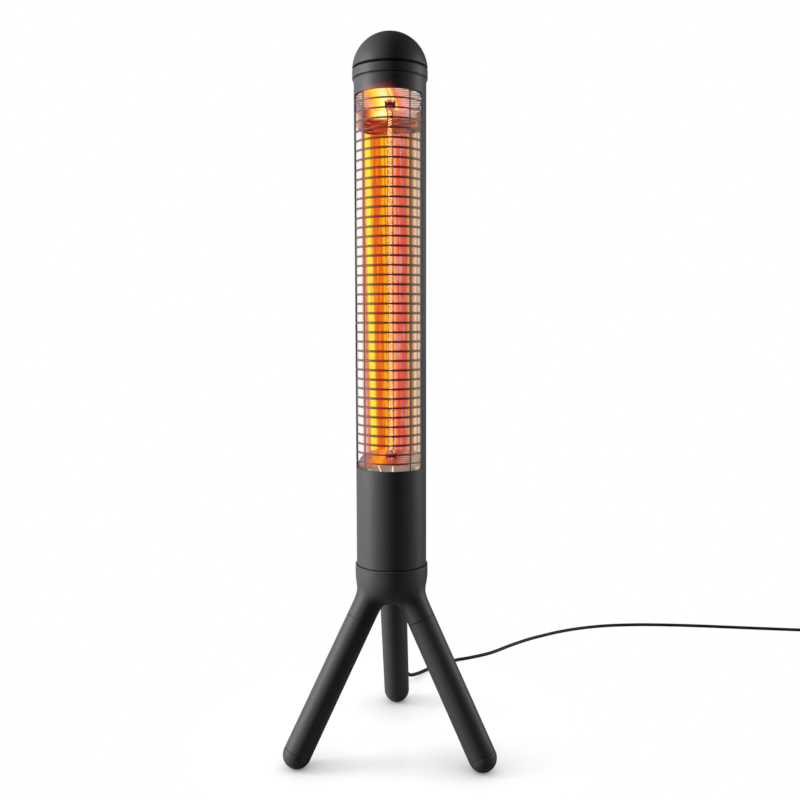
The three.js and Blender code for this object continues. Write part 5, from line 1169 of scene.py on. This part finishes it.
skirt_bottom, ledge = BAND_BOTTOM - BAND_DROP, BAND_TOP - 0.008
band_profile = rounded([
    (NECK_RADIUS, skirt_bottom), (NECK_RADIUS, BAND_BOTTOM), (RIM_RADIUS, BAND_BOTTOM),
    (RIM_RADIUS, BAND_TOP), (BAND_INNER, BAND_TOP), (BAND_INNER, ledge), (BAND_INNER + BAND_LEDGE, ledge),
    (BAND_INNER + BAND_LEDGE, skirt_bottom), (NECK_RADIUS, skirt_bottom)], 0.0006)
piece("cap_ring", [moved(turned(band_profile, 128), in_tower)], POWDER_COAT, ["cap_band"])
gasket = ring_profile(GASKET_RADIUS - GASKET_WIDTH, GASKET_RADIUS, BAND_TOP, DOME_BOTTOM, 0.0005)
piece("cap_seal_ring", [moved(turned(gasket, 128), in_tower)], GASKET_RUBBER, ["cap_gasket"])
dome_start = np.arcsin((DOME_BOTTOM - DOME_CENTRE) / DOME_RADIUS)
outer = dome_arc(DOME_RADIUS, np.linspace(dome_start, pi / 2, 40)[1:])
inner = dome_arc(DOME_RADIUS - DOME_WALL, np.linspace(pi / 2, dome_start, 20))
dome_edge = rounded([
    (DOME_RADIUS - DOME_WALL, DOME_BOTTOM), (DOME_RADIUS - 0.00005, DOME_BOTTOM), outer[0]], 0.0009, 4)[5:-5]
dome_profile = np.vstack([dome_edge, outer, inner, dome_edge[:1]])
piece("round_cap", [moved(turned(dome_profile, 128), in_tower)], POWDER_COAT, ["dome_cap"])

# ---------------------------------------------------------------- reflector


def plate_height(plate, y):
    """Height of an end plate's middle plane at a distance behind the tower's axis."""
    return plate[0] + y * tan(plate[1])


def reflector_fold():
    """The folded sheet: straight facets between corners on a circle, with slightly eased folds, and
    rows that run from the lower end plate to the upper one."""
    side = np.linspace(REFLECTOR_EDGE, REFLECTOR_BACK, REFLECTOR_FACETS + 1)
    angle = np.concatenate([side, 2 * pi - side[::-1]])
    corners = REFLECTOR_RADIUS * np.stack([np.sin(angle), -np.cos(angle)], 1)
    lip = REFLECTOR_LIP * np.array([sin(REFLECTOR_EDGE), -cos(REFLECTOR_EDGE)])
    corners = np.vstack([lip, corners, lip * (-1, 1)])
    plan = rounded(corners, 0.0012, 4)
    clear = PLATE_THICKNESS / 2 + FIT_GAP
    low = plate_height(BOTTOM_PLATE, plan[:, 1]) + clear
    high = plate_height(TOP_PLATE, plan[:, 1]) - clear
    height = low + (high - low) * np.linspace(0, 1, 60)[:, None]
    across, back = (np.broadcast_to(plan[:, axis], height.shape) for axis in (0, 1))
    return np.stack([across, back, height], -1), False, False


trough = piece("folded_reflector", [moved(reflector_fold(), in_tower)], MIRROR_SHEET,
               ["reflector_trough"], sharp=60, shell_kind="sheet")
sheet = trough.modifiers.new("sheet", "SOLIDIFY")
sheet.thickness, sheet.offset = REFLECTOR_SHEET, -1


def plate_rim(angle):
    """The end plates' rim radius by the angle from the front, notched where the uprights pass."""
    from_front = np.abs((angle + pi) % (2 * pi) - pi)
    return PLATE_RADIUS - 0.0042 * np.exp(-((from_front - UPRIGHT_ANGLE) / radians(2.6)) ** 4)


def front_skirt(plate, low):
    """A thin wall round the front of an end plate's rim, from the plate down to a height."""
    angle = np.linspace(-radians(76), radians(76), 160)
    outline = []
    for inset, at_top in ((0.0, True), (0.0, False), (SKIRT_WALL, False), (SKIRT_WALL, True)):
        radius = plate_rim(angle) - inset
        under_plate = plate_height(plate, -radius * np.cos(angle)) - PLATE_THICKNESS / 2
        outline.append(around(radius, angle, under_plate if at_top else low))
    wall = np.stack(outline)
    ends = [np.repeat(wall[:, place].mean(0)[None, None], 4, 0) for place in (0, -1)]
    return np.concatenate([ends[0], wall, ends[1]], 1), True, False


def end_plate(plate):
    """A tilted round plate with a bore for the lamp, notched at its rim where the uprights pass."""
    sides = 144
    angle = np.arange(sides) * (2 * pi / sides)
    rim = plate_rim(angle)
    share = np.linspace(0, 1, 14)[:, None]
    bore = LAMP_END_RADIUS + FIT_GAP
    radius = bore + (rim - bore) * share
    half = PLATE_THICKNESS / 2
    height = plate_height(plate, -radius * np.cos(angle))
    faces = [around(radius, angle, height + lift) for lift in (-half, half)]
    return np.concatenate([faces[0], faces[1][::-1]]), True, True


piece("reflector_ceiling", [moved(end_plate(TOP_PLATE), in_tower)], CEILING_MIRROR,
      ["reflector_top_plate"])
skirt = front_skirt(BOTTOM_PLATE, WINDOW_BOTTOM - 0.003)
piece("reflector_floor", [moved(grid, in_tower) for grid in (end_plate(BOTTOM_PLATE), skirt)], FLOOR_MIRROR,
      ["reflector_bottom_plate"])

# ---------------------------------------------------------------- lamp

CLIP_START, CLIP_STOP = 0.0046, 0.0106
COLLAR_START, COLLAR_STOP = 0.0109, 0.0139
LAMP_END_STOP = 0.0179
LAMP_END_START = LAMP_END_STOP - 0.033
SOCKET_START = LAMP_END_STOP - 0.014
LEAD_BORE = 0.0015
GLASS_BORE = QUARTZ_RADIUS + FIT_GAP
CLIP_INNER = LAMP_END_RADIUS + FIT_GAP
CLIP_WALL = 0.002
for name, plate, inside in (("upper", TOP_PLATE, -1), ("lower", BOTTOM_PLATE, 1)):
    at = lambda outline, height=plate[0], inside=inside: [(r, height + inside * z) for r, z in outline]
    end_profile = rounded(at([
        (LEAD_BORE, LAMP_END_START), (LAMP_END_RADIUS, LAMP_END_START), (LAMP_END_RADIUS, COLLAR_START),
        (LAMP_COLLAR_RADIUS, COLLAR_START), (LAMP_COLLAR_RADIUS, COLLAR_STOP), (LAMP_END_RADIUS, COLLAR_STOP),
        (LAMP_END_RADIUS, LAMP_END_STOP), (GLASS_BORE, LAMP_END_STOP), (GLASS_BORE, SOCKET_START),
        (LEAD_BORE, SOCKET_START), (LEAD_BORE, LAMP_END_START)]), 0.0006)
    piece(f"lamp_socket_{name}", [moved(turned(end_profile, 48), in_tower)], LAMP_LIT_CERAMIC,
          [f"lamp_end_{name}"])
    clip_profile = ring_profile(CLIP_INNER, CLIP_INNER + CLIP_WALL, plate[0] + inside * CLIP_START,
                                plate[0] + inside * CLIP_STOP, 0.0005)
    posts = []
    for side in (-1, 1):
        height = plate[0] + inside * np.linspace(0.0009, CLIP_START + 0.001, 4)
        post = np.stack([np.full(4, side * (CLIP_INNER + CLIP_WALL / 2)), np.zeros(4), height], 1)
        posts.append(pipe(post, 0.0013, 8, (1, 0, 0)))
    piece(f"lamp_holder_{name}", [moved(grid, in_tower) for grid in [turned(clip_profile, 48), *posts]],
          LAMP_LIT_SPRING_STEEL, [f"lamp_clip_{name}"])

QUARTZ_BOTTOM = BOTTOM_PLATE[0] + SOCKET_START + FIT_GAP
QUARTZ_TOP = TOP_PLATE[0] - SOCKET_START - FIT_GAP
quartz_profile = tube_profile(QUARTZ_RADIUS, QUARTZ_WALL, QUARTZ_BOTTOM, QUARTZ_TOP, 0.0003)
piece("lamp_glass", [moved(turned(quartz_profile, 48), in_tower)], QUARTZ_GLASS, ["quartz_tube"])


def filament():
    """A close helix on the tower's axis that runs out into a straight tail at each end."""
    tail = 0.008
    low, high = QUARTZ_BOTTOM - tail / 2, QUARTZ_TOP + tail / 2
    height = np.linspace(low, high, 12 * (FILAMENT_TURNS + 6))
    from_end = np.minimum(height - low, high - height) - tail
    radius = FILAMENT_RADIUS * smooth_step(from_end, 0, tail)
    wound = np.clip((height - low - tail) / (high - low - 2 * tail), 0, 1)
    angle = 2 * pi * FILAMENT_TURNS * wound
    path = np.stack([radius * np.cos(angle), radius * np.sin(angle), height], 1)
    guide = np.stack([np.cos(angle), np.sin(angle), np.zeros_like(angle)], 1)
    return pipe(path, FILAMENT_WIRE_RADIUS, 6, guide)


piece("glowing_coil", [moved(filament(), in_tower)], FILAMENT_GLOW, ["lamp_filament"])

# ---------------------------------------------------------------- screws

HUB_SCREW_HEIGHT = TUBE_BOTTOM + 0.0135
CAP_SCREW_HEIGHT = TUBE_TOP - RIM_HEIGHT - SCREW_HEAD_RADIUS - 0.0015
for prefix, height in (("hub", HUB_SCREW_HEIGHT), ("cap", CAP_SCREW_HEIGHT)):
    for side, angle in (("right", 120), ("rear", 180), ("left", 240)):
        screw = socket_screw(0.002, 0.006, SCREW_HEAD_RADIUS, 0.0019)
        place = lambda points, angle=angle, height=height: outward(
            points + (0, 0, TUBE_RADIUS + FIT_GAP), radians(angle), height)
        piece(f"{prefix}_side_screw_{side}", [moved(screw, place)], SCREW_STEEL,
              [f"{prefix}_screw_{side}"])

# ---------------------------------------------------------------- carried-over pieces

CARRIED = {
    "chassis_plate": SHEET_STEEL, "chassis_screw_left": SCREW_STEEL, "chassis_screw_right": SCREW_STEEL,
    "cap_bridge": SHEET_STEEL, "cap_bolt": SCREW_STEEL, "terminal_block": PALE_PLASTIC,
    "thermal_cutout": CERAMIC, "lead_wire_lower": SLEEVE_CLOTH, "lead_wire_upper": SLEEVE_CLOTH,
    "switch_wires": SLEEVE_CLOTH, "tilt_switch_case": BLACK_PLASTIC, "tilt_switch_pendulum": BRASS,
    "tilt_switch_cover": PALE_PLASTIC, "power_switch_body": BLACK_PLASTIC, "power_rocker": BLACK_PLASTIC,
    "gland_nut": BLACK_PLASTIC, "cord_inner": CORD_RUBBER,
}
for name, finish in CARRIED.items():
    node = nodes[name]
    node.data.materials.clear()
    node.data.materials.append(finish)

# ---------------------------------------------------------------- floor, world and lamps

FLOOR_HALF_SIZE = 14
FLOOR_GREY = 0.14
FLOOR_LIFT = 0.88
SHADE_REACH = 0.17
WORLD_LIGHT = 0.09


def make_floor():
    """A glossy floor, grey in itself. The camera sees it lifted towards white where nothing stands close,
    with soft shadows and a dim mirror image near the object, and plain white further off."""
    made, net, bsdf = shader("white_floor")
    camera_ray = net.add("ShaderNodeLightPath").outputs["Is Camera Ray"]
    distance = net.add("ShaderNodeVectorMath", operation="LENGTH")
    net.link(net.place(), distance.inputs[0])
    away = distance.outputs["Value"]
    net.fill(bsdf, {"Base Color": (FLOOR_GREY, FLOOR_GREY, FLOOR_GREY, 1), "IOR": 1.8,
                    "Roughness": net.range(away, 0.12, 0.5, 0.06, 0.34)})
    lift = net.add("ShaderNodeEmission")
    # painted shade: the lift towards white is dimmed by ambient occlusion where things stand close
    open_sky = net.add("ShaderNodeAmbientOcclusion", samples=8)
    open_sky.inputs["Distance"].default_value = SHADE_REACH
    share = net.times(open_sky.outputs["AO"], FLOOR_LIFT)
    net.link(net.times(camera_ray, share), lift.inputs["Strength"])
    lifted = net.add("ShaderNodeAddShader")
    net.link(bsdf.outputs[0], lifted.inputs[0])
    net.link(lift.outputs[0], lifted.inputs[1])
    white = net.add("ShaderNodeEmission")
    blend = net.add("ShaderNodeMixShader")
    far = net.range(away, 0.18, 0.4, 0, 1, smooth=True)
    net.link(net.times(far, camera_ray), blend.inputs[0])
    net.link(lifted.outputs[0], blend.inputs[1])
    net.link(white.outputs[0], blend.inputs[2])
    net.link(blend.outputs[0], net.tree.nodes["Material Output"].inputs["Surface"])
    mesh = bpy.data.meshes.new("floor")
    corners = [(x * FLOOR_HALF_SIZE, y * FLOOR_HALF_SIZE, 0) for x, y in ((-1, -1), (1, -1), (1, 1), (-1, 1))]
    mesh.from_pydata(corners, [], [(0, 1, 2, 3)])
    mesh.materials.append(made)
    floor = bpy.data.objects.new("floor", mesh)
    bpy.context.scene.collection.objects.link(floor)


def make_world():
    """White to the camera, through glass and to gloss low behind the object, and a dim even light else."""
    world = bpy.data.worlds.new("studio")
    bpy.context.scene.world = world
    world.use_nodes = True
    net = Nodes(world.node_tree)
    back = world.node_tree.nodes["Background"]
    light_path = net.add("ShaderNodeLightPath")
    direction = net.split(net.add("ShaderNodeTexCoord").outputs["Generated"])
    raised = net.times(net.math("MAXIMUM", direction["Z"], 0.0), 1.5)
    behind = net.range(net.minus(direction["Y"], raised), 0.3, 0.95, 0.03, 1.0, smooth=True)
    gloss = net.times(light_path.outputs["Is Glossy Ray"], behind)
    seen = net.math("MAXIMUM", light_path.outputs["Is Camera Ray"], light_path.outputs["Is Transmission Ray"])
    seen = net.math("MAXIMUM", seen, gloss)
    net.fill(back, {"Color": (1, 1, 1, 1), "Strength": net.math("MAXIMUM", seen, WORLD_LIGHT)})


def make_lamp(name, place, target, width, height, power, gives=("diffuse", "glossy")):
    """A soft rectangular lamp that looks at a point and gives plain light, highlights or both."""
    data = bpy.data.lights.new(name, "AREA")
    data.shape, data.size, data.size_y, data.energy = "RECTANGLE", width, height, power
    lamp = bpy.data.objects.new(name, data)
    bpy.context.scene.collection.objects.link(lamp)
    lamp.location = place
    way = Vector(target) - Vector(place)
    lamp.rotation_mode = "QUATERNION"
    lamp.rotation_quaternion = way.to_track_quat("-Z", "Y")
    lamp.visible_camera = False
    lamp.visible_diffuse, lamp.visible_glossy = "diffuse" in gives, "glossy" in gives


make_floor()
make_world()
make_lamp("left_soft_lamp", (-2.3, -0.16, 1.25), (0, 0, 0.9), 0.9, 2.4, 256, ("diffuse",))
make_lamp("left_sheen_lamp", (-2.1, -0.62, 1.25), (0, 0, 0.9), 0.6, 2.6, 60, ("glossy",))
make_lamp("right_soft_lamp", (2.15, 0.42, 1.15), (0, 0, 0.7), 0.8, 2.2, 40)

bpy.context.scene.view_settings.view_transform = "Standard"
